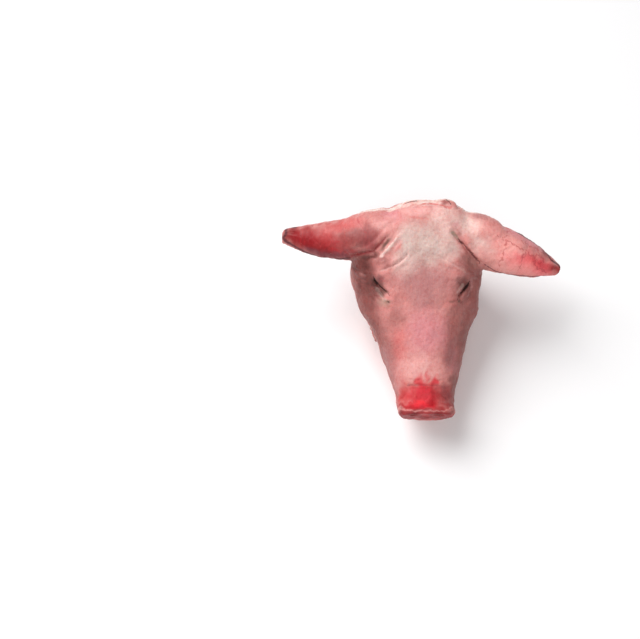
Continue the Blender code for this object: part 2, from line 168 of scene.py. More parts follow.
@dataclass(frozen=True)
class MainView:
    """The main view: where the camera stands, and what pixel each place falls on."""

    elevation: float = 65.0
    distance: float = 1.15
    aim: tuple[float, float, float] = (0.00435, 0.00864, 0.09)
    aim_pixel: Pixel = (425.0, 309.0)
    metres_per_pixel: float = 0.0013
    sensor: float = 36.0

    def axes(self) -> tuple[Vector, Vector, Vector]:
        """The camera's right, up and backward directions."""
        angle = math.radians(self.elevation)
        back = Vector((0, -math.cos(angle), math.sin(angle)))
        right = Vector((1, 0, 0))
        return right, back.cross(right), back

    def place(self) -> Vector:
        """The point that the camera looks from."""
        right, up, back = self.axes()
        aside = (self.aim_pixel[0] - FRAME_WIDTH / 2) * self.metres_per_pixel
        above = (FRAME_HEIGHT / 2 - self.aim_pixel[1]) * self.metres_per_pixel
        return Vector(self.aim) + back * self.distance - right * aside - up * above

    def focal(self) -> float:
        """The focal length in pixels."""
        return self.distance / self.metres_per_pixel

    def pixels_of(self, points: np.ndarray) -> np.ndarray:
        """Projects points into the main view.

        Args:
            points: places, in millimetres.

        Returns:
            The pixel of each point.
        """
        right, up, back = (np.array(axis) for axis in self.axes())
        away = points * MM - np.array(self.place())
        depth = -(away @ back)
        x = FRAME_WIDTH / 2 + self.focal() * (away @ right) / depth
        y = FRAME_HEIGHT / 2 - self.focal() * (away @ up) / depth
        return np.stack([x, y], axis=1)

    def hit(self, tree: BVHTree, pixel: Pixel) -> Vector | None:
        """The place on a surface under a pixel.

        Args:
            tree: the surface, in metres.
            pixel: the pixel, from the frame's upper left corner.

        Returns:
            The place in metres, or None where the pixel shows no surface.
        """
        right, up, back = self.axes()
        aside = (pixel[0] - FRAME_WIDTH / 2) / self.focal()
        above = (FRAME_HEIGHT / 2 - pixel[1]) / self.focal()
        way = (right * aside + up * above - back).normalized()
        return tree.ray_cast(self.place(), way)[0]

    def line_on(self, tree: BVHTree, line: Line, steps: int = 6) -> np.ndarray:
        """Lays a line of pixels on a surface.

        Args:
            tree: the surface, in metres.
            line: the pixels.
            steps: how many places each run of the line gets.

        Returns:
            The places, in millimetres.
        """
        places = []
        for start, end in zip(line, line[1:]):
            for share in np.linspace(0, 1, steps, endpoint=False):
                places.append(np.array(start) * (1 - share) + np.array(end) * share)
        places.append(np.array(line[-1]))
        found = [self.hit(tree, tuple(place)) for place in places]
        return np.array([place for place in found if place is not None]) / MM

    def make_camera(self) -> None:
        """Creates the camera and makes it the scene's own."""
        data = bpy.data.cameras.new("camera")
        data.sensor_width = self.sensor
        data.lens = self.focal() / FRAME_WIDTH * self.sensor
        data.clip_start, data.clip_end = 0.05, 20.0
        camera = bpy.data.objects.new("camera", data)
        camera.location = self.place()
        camera.rotation_euler = Euler((math.radians(90 - self.elevation), 0, 0))
        bpy.context.scene.collection.objects.link(camera)
        bpy.context.scene.camera = camera


VIEW = MainView()


class Surface:
    """A mesh that is shaped and painted point by point."""

    def __init__(self, mesh: bpy.types.Mesh) -> None:
        """Reads the mesh's points, in millimetres, and its normals."""
        self.mesh = mesh
        self.count = len(mesh.vertices)
        flat = np.empty(self.count * 3)
        mesh.vertices.foreach_get("co", flat)
        self.points = flat.reshape(-1, 3) / MM
        self.refresh()

    def refresh(self) -> None:
        """Writes the points back and reads the new normals."""
        self.mesh.vertices.foreach_set("co", (self.points * MM).ravel())
        self.mesh.update()
        flat = np.empty(self.count * 3)
        self.mesh.vertex_normals.foreach_get("vector", flat)
        self.normals = flat.reshape(-1, 3)

    def relax(self, rounds: int, keep: float = 0.6, swell: float = 0.63) -> None:
        """Evens the surface out without shrinking it.

        Args:
            rounds: number of pairs of passes.
            keep: how far each point goes to the middle of its neighbours.
            swell: how far it goes back, a little more than it came.
        """
        ends, others, degree = self.neighbours()
        for _ in range(rounds):
            for share in (keep, -swell):
                middle = np.stack(
                    [
                        np.bincount(ends, self.points[others, axis], self.count) / degree
                        for axis in range(3)
                    ],
                    axis=1,
                )
                self.points += (middle - self.points) * share
        self.refresh()

    def neighbours(self) -> tuple[np.ndarray, np.ndarray, np.ndarray]:
        """Both ends of every edge, each way round, and the number of edges at each point."""
        edges = np.empty(len(self.mesh.edges) * 2, np.int64)
        self.mesh.edges.foreach_get("vertices", edges)
        a, b = edges.reshape(-1, 2).T
        ends, others = np.concatenate([a, b]), np.concatenate([b, a])
        return ends, others, np.maximum(np.bincount(ends, minlength=self.count), 1)

    def spread(self, values: np.ndarray, rounds: int) -> np.ndarray:
        """Softens values over the surface.

        Args:
            values: one value a point.
            rounds: how many times each is mixed with its neighbours'.

        Returns:
            The softened values.
        """
        ends, others, degree = self.neighbours()
        for _ in range(rounds):
            values = (values + np.bincount(ends, values[others], self.count) / degree) / 2
        return values

    def raise_by(self, heights: np.ndarray) -> None:
        """Moves each point outwards by its height."""
        self.points += self.normals * heights[:, None]

    def swell_at(self, centre: np.ndarray, radius: float, height: float) -> None:
        """Raises, or with a negative height sinks, a soft round area."""
        away = np.linalg.norm((self.points - centre) / radius, axis=1)
        self.raise_by(falloff(away) * height)

    def crease(self, line: np.ndarray, width: float, depth: float, lip: float = 0.3) -> None:
        """Sinks a fold along a line, with a soft lip along both its sides.

        Args:
            line: places along the fold.
            width: from its middle to its edge.
            depth: how deep it is; a negative depth makes a ridge.
            lip: height of its lips, as a share of the depth.
        """
        if len(line) < 2:
            return
        ends = np.minimum(
            np.linalg.norm(self.points - line[0], axis=1),
            np.linalg.norm(self.points - line[-1], axis=1),
        )
        fade = step(ends, 0, 2.5 * width)
        away = line_distance(self.points, line)
        lips = falloff(np.abs(away - 1.7 * width) / width) * lip * depth
        self.raise_by((lips - falloff(away / width) * depth) * fade)

    def tree(self) -> BVHTree:
        """The surface as a tree that rays are cast at, in metres."""
        self.mesh.calc_loop_triangles()
        triangles = [tuple(t.vertices) for t in self.mesh.loop_triangles]
        return BVHTree.FromPolygons([tuple(p) for p in self.points * MM], triangles)

    def keep_values(self, name: str, values: np.ndarray) -> None:
        """Stores one number a point for the material to read."""
        made = self.mesh.attributes.new(name, "FLOAT", "POINT")
        made.data.foreach_set("value", values.astype(np.float32))

    def keep_colours(self, name: str, colours: np.ndarray) -> None:
        """Stores one linear colour a point for the material to read."""
        made = self.mesh.attributes.new(name, "FLOAT_COLOR", "POINT")
        full = np.ones((self.count, 4), np.float32)
        full[:, :3] = colours
        made.data.foreach_set("color", full.ravel())


@dataclass(frozen=True)
class Patch:
    """A soft area of colour as it lies in the main view, in pixels."""

    at: Pixel
    reach: Pixel
    colour: Colour
    strength: float = 1.0
    turn: float = 0.0
    core: float = 0.2

    def share(self, pixels: np.ndarray) -> np.ndarray:
        """How strongly the patch colours each pixel."""
        angle = math.radians(self.turn)
        away = pixels - np.array(self.at)
        x = away[:, 0] * math.cos(angle) + away[:, 1] * math.sin(angle)
        y = away[:, 1] * math.cos(angle) - away[:, 0] * math.sin(angle)
        distance = np.hypot(x / self.reach[0], y / self.reach[1])
        return falloff(distance, self.core) * self.strength


@dataclass(frozen=True)
class Stroke:
    """A thin line of colour as it lies in the main view, in pixels."""

    line: Line
    width: float
    colour: Colour
    strength: float = 1.0
    core: float = 0.2

    def share(self, pixels: np.ndarray) -> np.ndarray:
        """How strongly the stroke colours each pixel."""
        away = line_distance(pixels, np.array(self.line, float))
        return falloff(away / self.width, self.core) * self.strength


def layer(base: np.ndarray, colour: Colour, share: np.ndarray) -> np.ndarray:
    """Lays a display colour over linear colours, by a share of 0 to 1 a point."""
    share = np.clip(share, 0, 1)[:, None]
    return base * (1 - share) + np.array(linear(colour)) * share


class Nodes:
    """A material's node tree, with short ways to add to it."""

    def __init__(self, name: str) -> None:
        """Starts a material with its Principled shader."""
        self.material = bpy.data.materials.new(name)
        self.material.use_nodes = True
        self.tree = self.material.node_tree
        self.shader = self.tree.nodes["Principled BSDF"]
        self.where = self.add("ShaderNodeTexCoord").outputs["Object"]

    def add(self, kind: str, **settings: object) -> bpy.types.Node:
        """Adds a node and gives it its settings."""
        node = self.tree.nodes.new(kind)
        for word, value in settings.items():
            setattr(node, word, value)
        return node

    def join(self, output: bpy.types.NodeSocket, target: bpy.types.NodeSocket) -> None:
        """Links one socket to another."""
        self.tree.links.new(output, target)

    def attribute(self, name: str, output: str = "Fac") -> bpy.types.NodeSocket:
        """The value that the mesh keeps under a name."""
        return self.add("ShaderNodeAttribute", attribute_name=name).outputs[output]

    def noise(
        self, scale: float, detail: float = 2.0, roughness: float = 0.5, twist: float = 0.0
    ) -> bpy.types.NodeSocket:
        """A noise pattern.

        Args:
            scale: how many swells there are in a metre.
            detail: how many finer noises are added.
            roughness: how strong the finer noises are.
            twist: how far the pattern is distorted.

        Returns:
            The noise's socket, from 0 to 1.
        """
        node = self.add("ShaderNodeTexNoise")
        node.inputs["Scale"].default_value = scale
        node.inputs["Detail"].default_value = detail
        node.inputs["Roughness"].default_value = roughness
        node.inputs["Distortion"].default_value = twist
        self.join(self.where, node.inputs["Vector"])
        return node.outputs["Fac"]

    def cell_edges(self, scale: float) -> bpy.types.NodeSocket:
        """The distance to the edges of a pattern of cells, so many a metre."""
        node = self.add("ShaderNodeTexVoronoi", feature="DISTANCE_TO_EDGE")
        node.inputs["Scale"].default_value = scale
        self.join(self.where, node.inputs["Vector"])
        return node.outputs["Distance"]

    def stretched(self, scale: tuple, turn: tuple = (0.0, 0.0, 0.0)) -> bpy.types.NodeSocket:
        """A noise drawn out along a direction, as fibres are.

        Args:
            scale: how many swells there are in a metre along each axis.
            turn: the pattern's rotation about each axis, in degrees.

        Returns:
            The noise's socket, from 0 to 1.
        """
        mapping = self.add("ShaderNodeMapping")
        mapping.inputs["Scale"].default_value = scale
        mapping.inputs["Rotation"].default_value = tuple(math.radians(a) for a in turn)
        self.join(self.where, mapping.inputs["Vector"])
        node = self.add("ShaderNodeTexNoise")
        node.inputs["Scale"].default_value = 1.0
        node.inputs["Detail"].default_value = 4.0
        node.inputs["Roughness"].default_value = 0.6
        self.join(mapping.outputs["Vector"], node.inputs["Vector"])
        return node.outputs["Fac"]

    def ramp(
        self, value: bpy.types.NodeSocket, low: float, high: float, start: float, end: float
    ) -> bpy.types.NodeSocket:
        """Maps a value smoothly from one range to another and holds it at both ends.

        Args:
            value: the value.
            low: where the first range starts.
            high: where the first range ends.
            start: the result at low.
            end: the result at high.

        Returns:
            The result's socket.
        """
        node = self.add("ShaderNodeMapRange", interpolation_type="SMOOTHSTEP")
        for socket, number in zip(node.inputs[1:5], (low, high, start, end)):
            socket.default_value = number
        self.join(value, node.inputs["Value"])
        return node.outputs["Result"]

    def maths(
        self, operation: str, first: bpy.types.NodeSocket, second: bpy.types.NodeSocket | float
    ) -> bpy.types.NodeSocket:
        """One calculation on two values, the second a socket or a plain number.

        Args:
            operation: the Math node's operation.
            first: the first value.
            second: the second value.

        Returns:
            The result's socket.
        """
        node = self.add("ShaderNodeMath", operation=operation)
        self.join(first, node.inputs[0])
        if isinstance(second, float):
            node.inputs[1].default_value = second
        else:
            self.join(second, node.inputs[1])
        return node.outputs["Value"]

    def mixed(
        self,
        share: bpy.types.NodeSocket,
        first: bpy.types.NodeSocket | Colour,
        second: bpy.types.NodeSocket | Colour,
        blend: str = "MIX",
    ) -> bpy.types.NodeSocket:
        """Mixes two colours; a tuple is a display colour.

        Args:
            share: how much of the second colour there is, from 0 to 1.
            first: the colour below.
            second: the colour on top.
            blend: the Mix node's way of blending.

        Returns:
            The mixed colour's socket.
        """
        node = self.add("ShaderNodeMix", data_type="RGBA", blend_type=blend)
        self.join(share, node.inputs["Factor"])
        for socket, value in ((node.inputs["A"], first), (node.inputs["B"], second)):
            chosen = next(s for s in node.inputs if s.name == socket.name and s.type == "RGBA")
            if isinstance(value, tuple):
                chosen.default_value = (*linear(value), 1)
            else:
                self.join(value, chosen)
        return next(s for s in node.outputs if s.type == "RGBA")

    def bumps(self, *layers: tuple[bpy.types.NodeSocket, float, float]) -> None:
        """Gives the shader bumps, one on another.

        Args:
            layers: each bump's height, strength and depth in metres.
        """
        under = None
        for height, strength, depth in layers:
            node = self.add("ShaderNodeBump")
            node.inputs["Strength"].default_value = strength
            node.inputs["Distance"].default_value = depth
            self.join(height, node.inputs["Height"])
            if under is not None:
                self.join(under, node.inputs["Normal"])
            under = node.outputs["Normal"]
        self.join(under, self.shader.inputs["Normal"])

    def set(self, **values: float | tuple) -> None:
        """Sets the shader's own sockets; _ in a name stands for a space."""
        for word, value in values.items():
            self.shader.inputs[word.replace("_", " ")].default_value = value


@dataclass(frozen=True)
class SkinFinish:
    """Scalded pig skin: mottled pink over pale, finely creased and faintly moist."""

    name: str = "skin"
    blush: Colour = (214, 92, 88)
    pale: Colour = (250, 226, 214)
    roughness: float = 0.46
    scatter: float = 0.1
    scatter_depth: float = 0.002

    def make(self) -> bpy.types.Material:
        """The skin's material, over the colours that the mesh keeps."""
        nodes = Nodes(self.name)
        tone = nodes.attribute("tone", "Color")
        bare = nodes.attribute("bare")
        wide = nodes.ramp(nodes.noise(70, 3.0, 0.6), 0.42, 0.7, 0.0, 0.16)
        close = nodes.ramp(nodes.noise(300, 4.0, 0.65), 0.45, 0.7, 0.0, 0.24)
        fine = nodes.ramp(nodes.noise(900, 2.0), 0.35, 0.7, 0.0, 0.22)
        colour = nodes.mixed(wide, tone, self.blush, "MULTIPLY")
        colour = nodes.mixed(close, colour, self.blush, "MULTIPLY")
        colour = nodes.mixed(fine, colour, self.pale, "SOFT_LIGHT")
        streaks = nodes.ramp(nodes.stretched((420, 80, 80)), 0.45, 0.75, 0.0, 0.3)
        colour = nodes.mixed(streaks, colour, self.pale, "SOFT_LIGHT")
        vein = nodes.attribute("vein")
        vein = nodes.maths("ADD", vein, nodes.ramp(nodes.noise(420, 2.0), 0.3, 0.7, -0.12, 0.12))
        thread = nodes.ramp(vein, 0.08, 0.36, 0.5, 0.0)
        colour = nodes.mixed(thread, colour, (176, 48, 54))
        threads = nodes.maths("ABSOLUTE", nodes.maths("SUBTRACT", nodes.noise(190, 5.0, 0.6, 0.6), 0.5), 0.0)
        network = nodes.ramp(threads, 0.0, 0.035, 0.16, 0.0)
        colour = nodes.mixed(network, colour, (186, 62, 62))
        uneven = nodes.ramp(nodes.noise(500, 2.0), 0.3, 0.7, -0.07, 0.07)
        rim = nodes.ramp(nodes.maths("ADD", nodes.attribute("rim"), uneven), 0.1, 0.62, 0.85, 0.0)
        colour = nodes.mixed(rim, colour, RIM_COLOUR)
        # Thin dark lines: painted shade in the eye slits and a crease, and the ducts' dark spots
        ink = nodes.ramp(nodes.maths("ADD", nodes.attribute("ink"), uneven), 0.08, 0.55, 0.92, 0.0)
        colour = nodes.mixed(ink, colour, SHADE_AND_DARK_LINE_COLOUR)
        nodes.join(colour, nodes.shader.inputs["Base Color"])
        wet = nodes.ramp(bare, 0.2, 0.9, 0.0, -0.2)
        sheen = nodes.ramp(nodes.noise(140, 3.0), 0.3, 0.7, self.roughness - 0.08, self.roughness + 0.1)
        dull = nodes.maths("MULTIPLY", ink, 0.35)
        rough = nodes.maths("ADD", nodes.maths("ADD", sheen, wet), dull)
        nodes.join(rough, nodes.shader.inputs["Roughness"])
        nodes.set(
            Subsurface_Weight=self.scatter,
            Subsurface_Radius=(1.0, 0.35, 0.2),
            Subsurface_Scale=self.scatter_depth,
            Specular_IOR_Level=0.3,
        )
        creases = nodes.cell_edges(620)
        nodes.bumps(
            (nodes.noise(300, 4.0, 0.6), 0.35, 0.0009),
            (nodes.stretched((420, 110, 110)), 0.3, 0.0006),
            (nodes.ramp(creases, 0.0, 0.2, 0.0, 1.0), 0.25, 0.0003),
            (nodes.noise(1500, 2.0), 0.2, 0.0002),
        )
        return nodes.material


@dataclass(frozen=True)
class MeatFinish:
    """Raw muscle: long fibres under a thin silvery film, wet on top."""

    name: str
    deep: Colour
    light: Colour
    film: Colour
    film_share: float
    fibre_turn: tuple
    roughness: float = 0.3

    def make(self) -> bpy.types.Material:
        """The muscle's material, with fibres along its own direction."""
        nodes = Nodes(self.name)
        fibre = nodes.stretched((900, 900, 70), self.fibre_turn)
        broad = nodes.stretched((160, 160, 22), self.fibre_turn)
        colour = nodes.mixed(nodes.ramp(broad, 0.35, 0.65, 0.0, 1.0), self.deep, self.light)
        colour = nodes.mixed(nodes.ramp(fibre, 0.4, 0.7, 0.0, 0.45), colour, self.film)
        film = nodes.ramp(nodes.stretched((60, 60, 26), self.fibre_turn), 0.45, 0.62, 0.0, self.film_share)
        colour = nodes.mixed(film, colour, self.film)
        tone = nodes.attribute("tone", "Color")
        colour = nodes.mixed(nodes.attribute("painted"), colour, tone)
        nodes.join(colour, nodes.shader.inputs["Base Color"])
        nodes.set(
            Roughness=self.roughness,
            Subsurface_Weight=0.12,
            Subsurface_Radius=(1.0, 0.3, 0.2),
            Subsurface_Scale=0.003,
            Coat_Weight=0.35,
            Coat_Roughness=0.15,
        )
        nodes.bumps((broad, 0.35, 0.0015), (fibre, 0.4, 0.0005))
        return nodes.material


@dataclass(frozen=True)
class PlainFinish:
    """A small part's finish: one colour with a little unevenness."""

    name: str
    colour: Colour
    darker: Colour
    roughness: float = 0.4
    coat: float = 0.0
    grain: float = 900.0

    def make(self) -> bpy.types.Material:
        """The finish's material."""
        nodes = Nodes(self.name)
        share = nodes.ramp(nodes.noise(self.grain, 3.0), 0.35, 0.65, 0.0, 1.0)
        nodes.join(nodes.mixed(share, self.colour, self.darker), nodes.shader.inputs["Base Color"])
        nodes.set(Roughness=self.roughness, Coat_Weight=self.coat, Coat_Roughness=0.1)
        nodes.bumps((nodes.noise(self.grain * 1.5, 2.0), 0.3, 0.0003))
        return nodes.material


def new_piece(name: str, mesh: bpy.types.Mesh, finish: bpy.types.Material) -> bpy.types.Object:
    """Makes a visible piece that rides on the head.

    Args:
        name: the piece's name.
        mesh: its mesh, with its place in it.
        finish: its material.

    Returns:
        The piece.
    """
    mesh.materials.clear()
    mesh.materials.append(finish)
    mesh.shade_smooth()
    piece = bpy.data.objects.new(name, mesh)
    bpy.context.scene.collection.objects.link(piece)
    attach(piece, BODY)
    LOG.info("%s: %d faces", name, len(mesh.polygons))
    return piece


def evaluated(obj: bpy.types.Object) -> bpy.types.Mesh:
    """A plain mesh of an object with its modifiers applied; the object is removed."""
    bpy.context.view_layer.update()
    graph = bpy.context.evaluated_depsgraph_get()
    mesh = bpy.data.meshes.new_from_object(obj.evaluated_get(graph))
    bpy.data.objects.remove(obj)
    return mesh


def helper(name: str, mesh: bpy.types.Mesh) -> bpy.types.Object:
    """An object for work in between."""
    made = bpy.data.objects.new(name, mesh)
    bpy.context.scene.collection.objects.link(made)
    return made


def refined(node: str, voxel: float, rounds: int) -> Surface:
    """A close, even copy of a solid's surface.

    Args:
        node: the solid's name.
        voxel: size of the new faces, in millimetres.
        rounds: how long the surface is evened out.

    Returns:
        The new surface.
    """
    source = bpy.data.objects[node].data
    bm = bmesh.new()
    bm.from_mesh(source)
    bmesh.ops.remove_doubles(bm, verts=bm.verts, dist=1e-6)
    mesh = bpy.data.meshes.new(node + "_fine")
    bm.to_mesh(mesh)
    bm.free()
    work = helper(node + "_fine", mesh)
    grid = work.modifiers.new("grid", "REMESH")
    grid.mode = "VOXEL"
    grid.voxel_size = voxel * MM
    surface = Surface(evaluated(work))
    surface.relax(rounds)
    return surface


def thinned(mesh: bpy.types.Mesh, triangles: int, spared: np.ndarray) -> bpy.types.Mesh:
    """The same mesh cut down to at most so many triangles.

    Args:
        mesh: the mesh.
        triangles: the most triangles that it may keep.
        spared: whether each point keeps all its triangles.

    Returns:
        The mesh itself when it is small enough, or else a new one.
    """
    count = sum(len(face.vertices) - 2 for face in mesh.polygons)
    if count <= triangles:
        return mesh
    work = helper("thinned", mesh)
    group = work.vertex_groups.new(name="thinned")
    group.add([int(i) for i in np.flatnonzero(~spared)], 1.0, "REPLACE")
    fewer = work.modifiers.new("fewer", "DECIMATE")
    fewer.ratio = triangles / count
    fewer.vertex_group = group.name
    return evaluated(work)


class Side(Enum):
    """The head's left-hand and right-hand side, by the sign of x."""

    LEFT = -1
    RIGHT = 1


@dataclass
class Studio:
    """The pale floor and the soft light."""

    floor_side: float = 8.0
    key_place: tuple[float, float, float] = (-1.75, 1.15, 2.9)
    key_size: float = 2.4
    key_power: float = 118.0
    fill_place: tuple[float, float, float] = (0.1, -2.1, 2.3)
    fill_size: float = 2.2
    fill_power: float = 27.0
    sky: float = 0.34

    def lamp(self, name: str, place: tuple, size: float, power: float) -> None:
        """Places a square soft light that faces the head.

        Args:
            name: the light's name.
            place: where it stands, in metres.
            size: the length of its side, in metres.
            power: its power, in watts.
        """
        data = bpy.data.lights.new(name, "AREA")
        data.size = size
        data.energy = power
        made = bpy.data.objects.new(name, data)
        made.location = place
        towards = Vector(VIEW.aim) - Vector(place)
        made.rotation_euler = towards.to_track_quat("-Z", "Y").to_euler()
        bpy.context.scene.collection.objects.link(made)

    def make(self) -> None:
        """Makes the floor, the lights and the even light all round."""
        bm = bmesh.new()
        bmesh.ops.create_grid(bm, x_segments=1, y_segments=1, size=self.floor_side / 2)
        mesh = bpy.data.meshes.new("floor")
        bm.to_mesh(mesh)
        bm.free()
        floor = helper("floor", mesh)
        nodes = Nodes("floor")
        nodes.set(Base_Color=(0.93, 0.925, 0.93, 1), Roughness=0.6)
        mesh.materials.append(nodes.material)
        self.lamp("key", self.key_place, self.key_size, self.key_power)
        self.lamp("fill", self.fill_place, self.fill_size, self.fill_power)
        world = bpy.data.worlds.new("world")
        world.use_nodes = True
        world.node_tree.nodes["Background"].inputs["Color"].default_value = (1, 1, 1, 1)
        world.node_tree.nodes["Background"].inputs["Strength"].default_value = self.sky
        bpy.context.scene.world = world
        bpy.context.scene.view_settings.view_transform = "Standard"


# Folds of the skin in the main view: line, and width and depth in millimetres
FOLDS = (
    (((350, 256), (360, 254), (373, 251), (381, 243.5), (385, 238), (393, 233)), 3.4, 2.6),
    (((378, 253), (387, 243), (395, 233)), 6.0, 2.4),
    (((408, 252), (402, 260), (393, 266), (381, 270.5)), 2.6, 1.1),
    (((452.5, 232.5), (460, 241), (464, 245), (471, 255), (481, 264)), 3.2, 2.6),
    (((441, 257), (447, 261), (456, 265), (466, 270)), 2.2, 1.2),
    (((443, 262), (452, 267), (462, 272)), 1.8, 0.6),
    (((421, 205), (429.6, 204), (438, 205), (451, 208)), 2.2, 1.0),
    (((410, 217), (420, 218), (428, 219)), 2.0, 0.5),
    (((406, 385.4), (424, 385.4), (440, 385.6)), 1.5, 0.5),
    (((408, 379), (416, 381), (424, 380)), 1.6, 0.5),
    (((430, 380), (440, 381), (447, 379)), 1.6, 0.5),
    (((436, 391), (442, 394), (448, 400)), 1.8, 0.7),
    (((439, 387), (446, 390), (450, 396)), 1.8, 0.6),
    (((441, 399), (447, 402)), 1.6, 0.6),
    (((399, 402), (404, 396), (409, 390)), 1.8, 0.4),
    (((390, 302), (397, 307), (405, 310)), 2.0, 0.35),
    (((457, 302), (450, 301), (441, 306)), 2.0, 0.25),
    (((368, 284), (371, 292), (378, 299), (386, 304)), 2.4, 1.2),
    (((472, 279), (470.8, 290), (469, 296)), 2.2, 1.0),
    (((380, 276), (389, 283), (394, 292)), 2.2, 0.8),
    (((464, 277), (457, 283), (452, 291)), 2.2, 0.8),
    (((372, 330), (384, 334), (395, 333)), 2.4, 0.35),
    (((352, 268), (360, 272), (368, 276)), 2.4, 1.0),
    (((354, 276), (362, 279), (370, 281)), 2.2, 0.8),
    (((468, 268), (474, 274), (480, 277)), 2.2, 0.9),
    (((284, 232), (290, 231.5), (298, 233)), 2.6, 2.0),
)
# Ridges of the skin in the main view: line, and width and height in millimetres
RIDGES = (
    (((400, 234), (393, 243.5), (387, 250), (381, 256)), 3.2, 2.6),
    (((408, 257), (401, 264), (391, 270)), 3.4, 0.5),
    (((441, 262), (450, 267), (460, 271)), 2.4, 0.4),
)
# Hollows and swellings in the main view: place, radius across and height in millimetres
SWELLS = (
    ((367, 274), 17, -2.8),
    ((477, 276), 15, -2.4),
    ((389, 279), 13, 1.6),
    ((455, 278), 13, 1.6),
    ((396, 262), 12, 1.2),
    ((453, 261), 12, 1.0),
    ((425, 262), 20, -1.2),
    ((404, 300), 14, -1.4),
    ((446, 300), 14, -1.4),
    ((424, 330), 22, 1.2),
    ((398, 250), 7, 1.0),
    ((470, 223), 17, -2.6),
    ((492, 238), 18, 2.6),
    ((484, 228), 14, 1.6),
    ((500, 232), 14, 1.6),
)
# The closed eyes in the main view, and their slits and lids in millimetres
EYE_SLITS = {
    Side.LEFT: ((373, 277.5), (376, 282), (379.5, 286.5), (384, 290), (388, 293.5), (390, 297)),
    Side.RIGHT: ((470, 281), (467.5, 285), (464, 289), (461, 292.5), (458.2, 296)),
}
SLIT_WIDTH = 3.4
SLIT_DEPTH = 2.4
LID_REACH = 7.0
LID_HEIGHT = 1.0
LID_MIDDLE = 0.62

# The cheek cut seen from the side, in millimetres: y from the snout's front and z, along the edge
SNOUT_TO_ORIGIN = 139.2
CUT_EDGE = ((-28, 58), (5, 73), (38, 97), (66, 119), (92, 144), (112, 176))
CHIN_EDGE = ((0, -14), (30, -20), (58, -28))
CUT_BACK = 105.0
EAR_REACH = 84.0
NECK_BACK = 101.0
# The cut flesh of the head
FASCIA = (198, 112, 104)
LEAN = (172, 62, 56)
FAT = (232, 196, 184)
WHITE_FAT = (244, 222, 212)
FAT_STREAK = (246, 226, 220)
# The chin, under the snout's paint: how far it reaches from the skull's middle, and its top
CHIN_BACK = 60.0
CHIN_TOP = 44.0
# The nostrils: their axes' place across and up, the holes' radii and their span in depth, where their
# insides get painted shade
NOSTRIL_X = (-11.6, 16.6)
NOSTRIL_Z = 68.7
NOSTRIL_RADII = (8.0, 5.8)
NOSTRIL_DEPTHS = (3.2, 15.0)

# The skin's few colours
SKIN = (208, 138, 134)
CREAM = (240, 206, 198)
PALE = (214, 190, 182)
BLUSH = (236, 174, 170)
PINK = (216, 140, 146)
ROSE = (212, 116, 114)
DUSTY = (178, 124, 124)
SALMON = (255, 174, 168)
CORAL = (255, 104, 112)
TERRACOTTA = (190, 64, 66)
BRICK = (144, 38, 44)
TAUPE = (140, 86, 82)
WINE = (138, 62, 64)
PLUM = (112, 50, 60)
UMBER = (82, 36, 32)
SOOT = (62, 40, 38)
OLIVE = (92, 76, 64)
GREIGE = (146, 130, 114)
SCARLET = (240, 56, 66)
RED = (205, 36, 52)
CRIMSON = (150, 8, 20)
MAROON = (106, 4, 12)

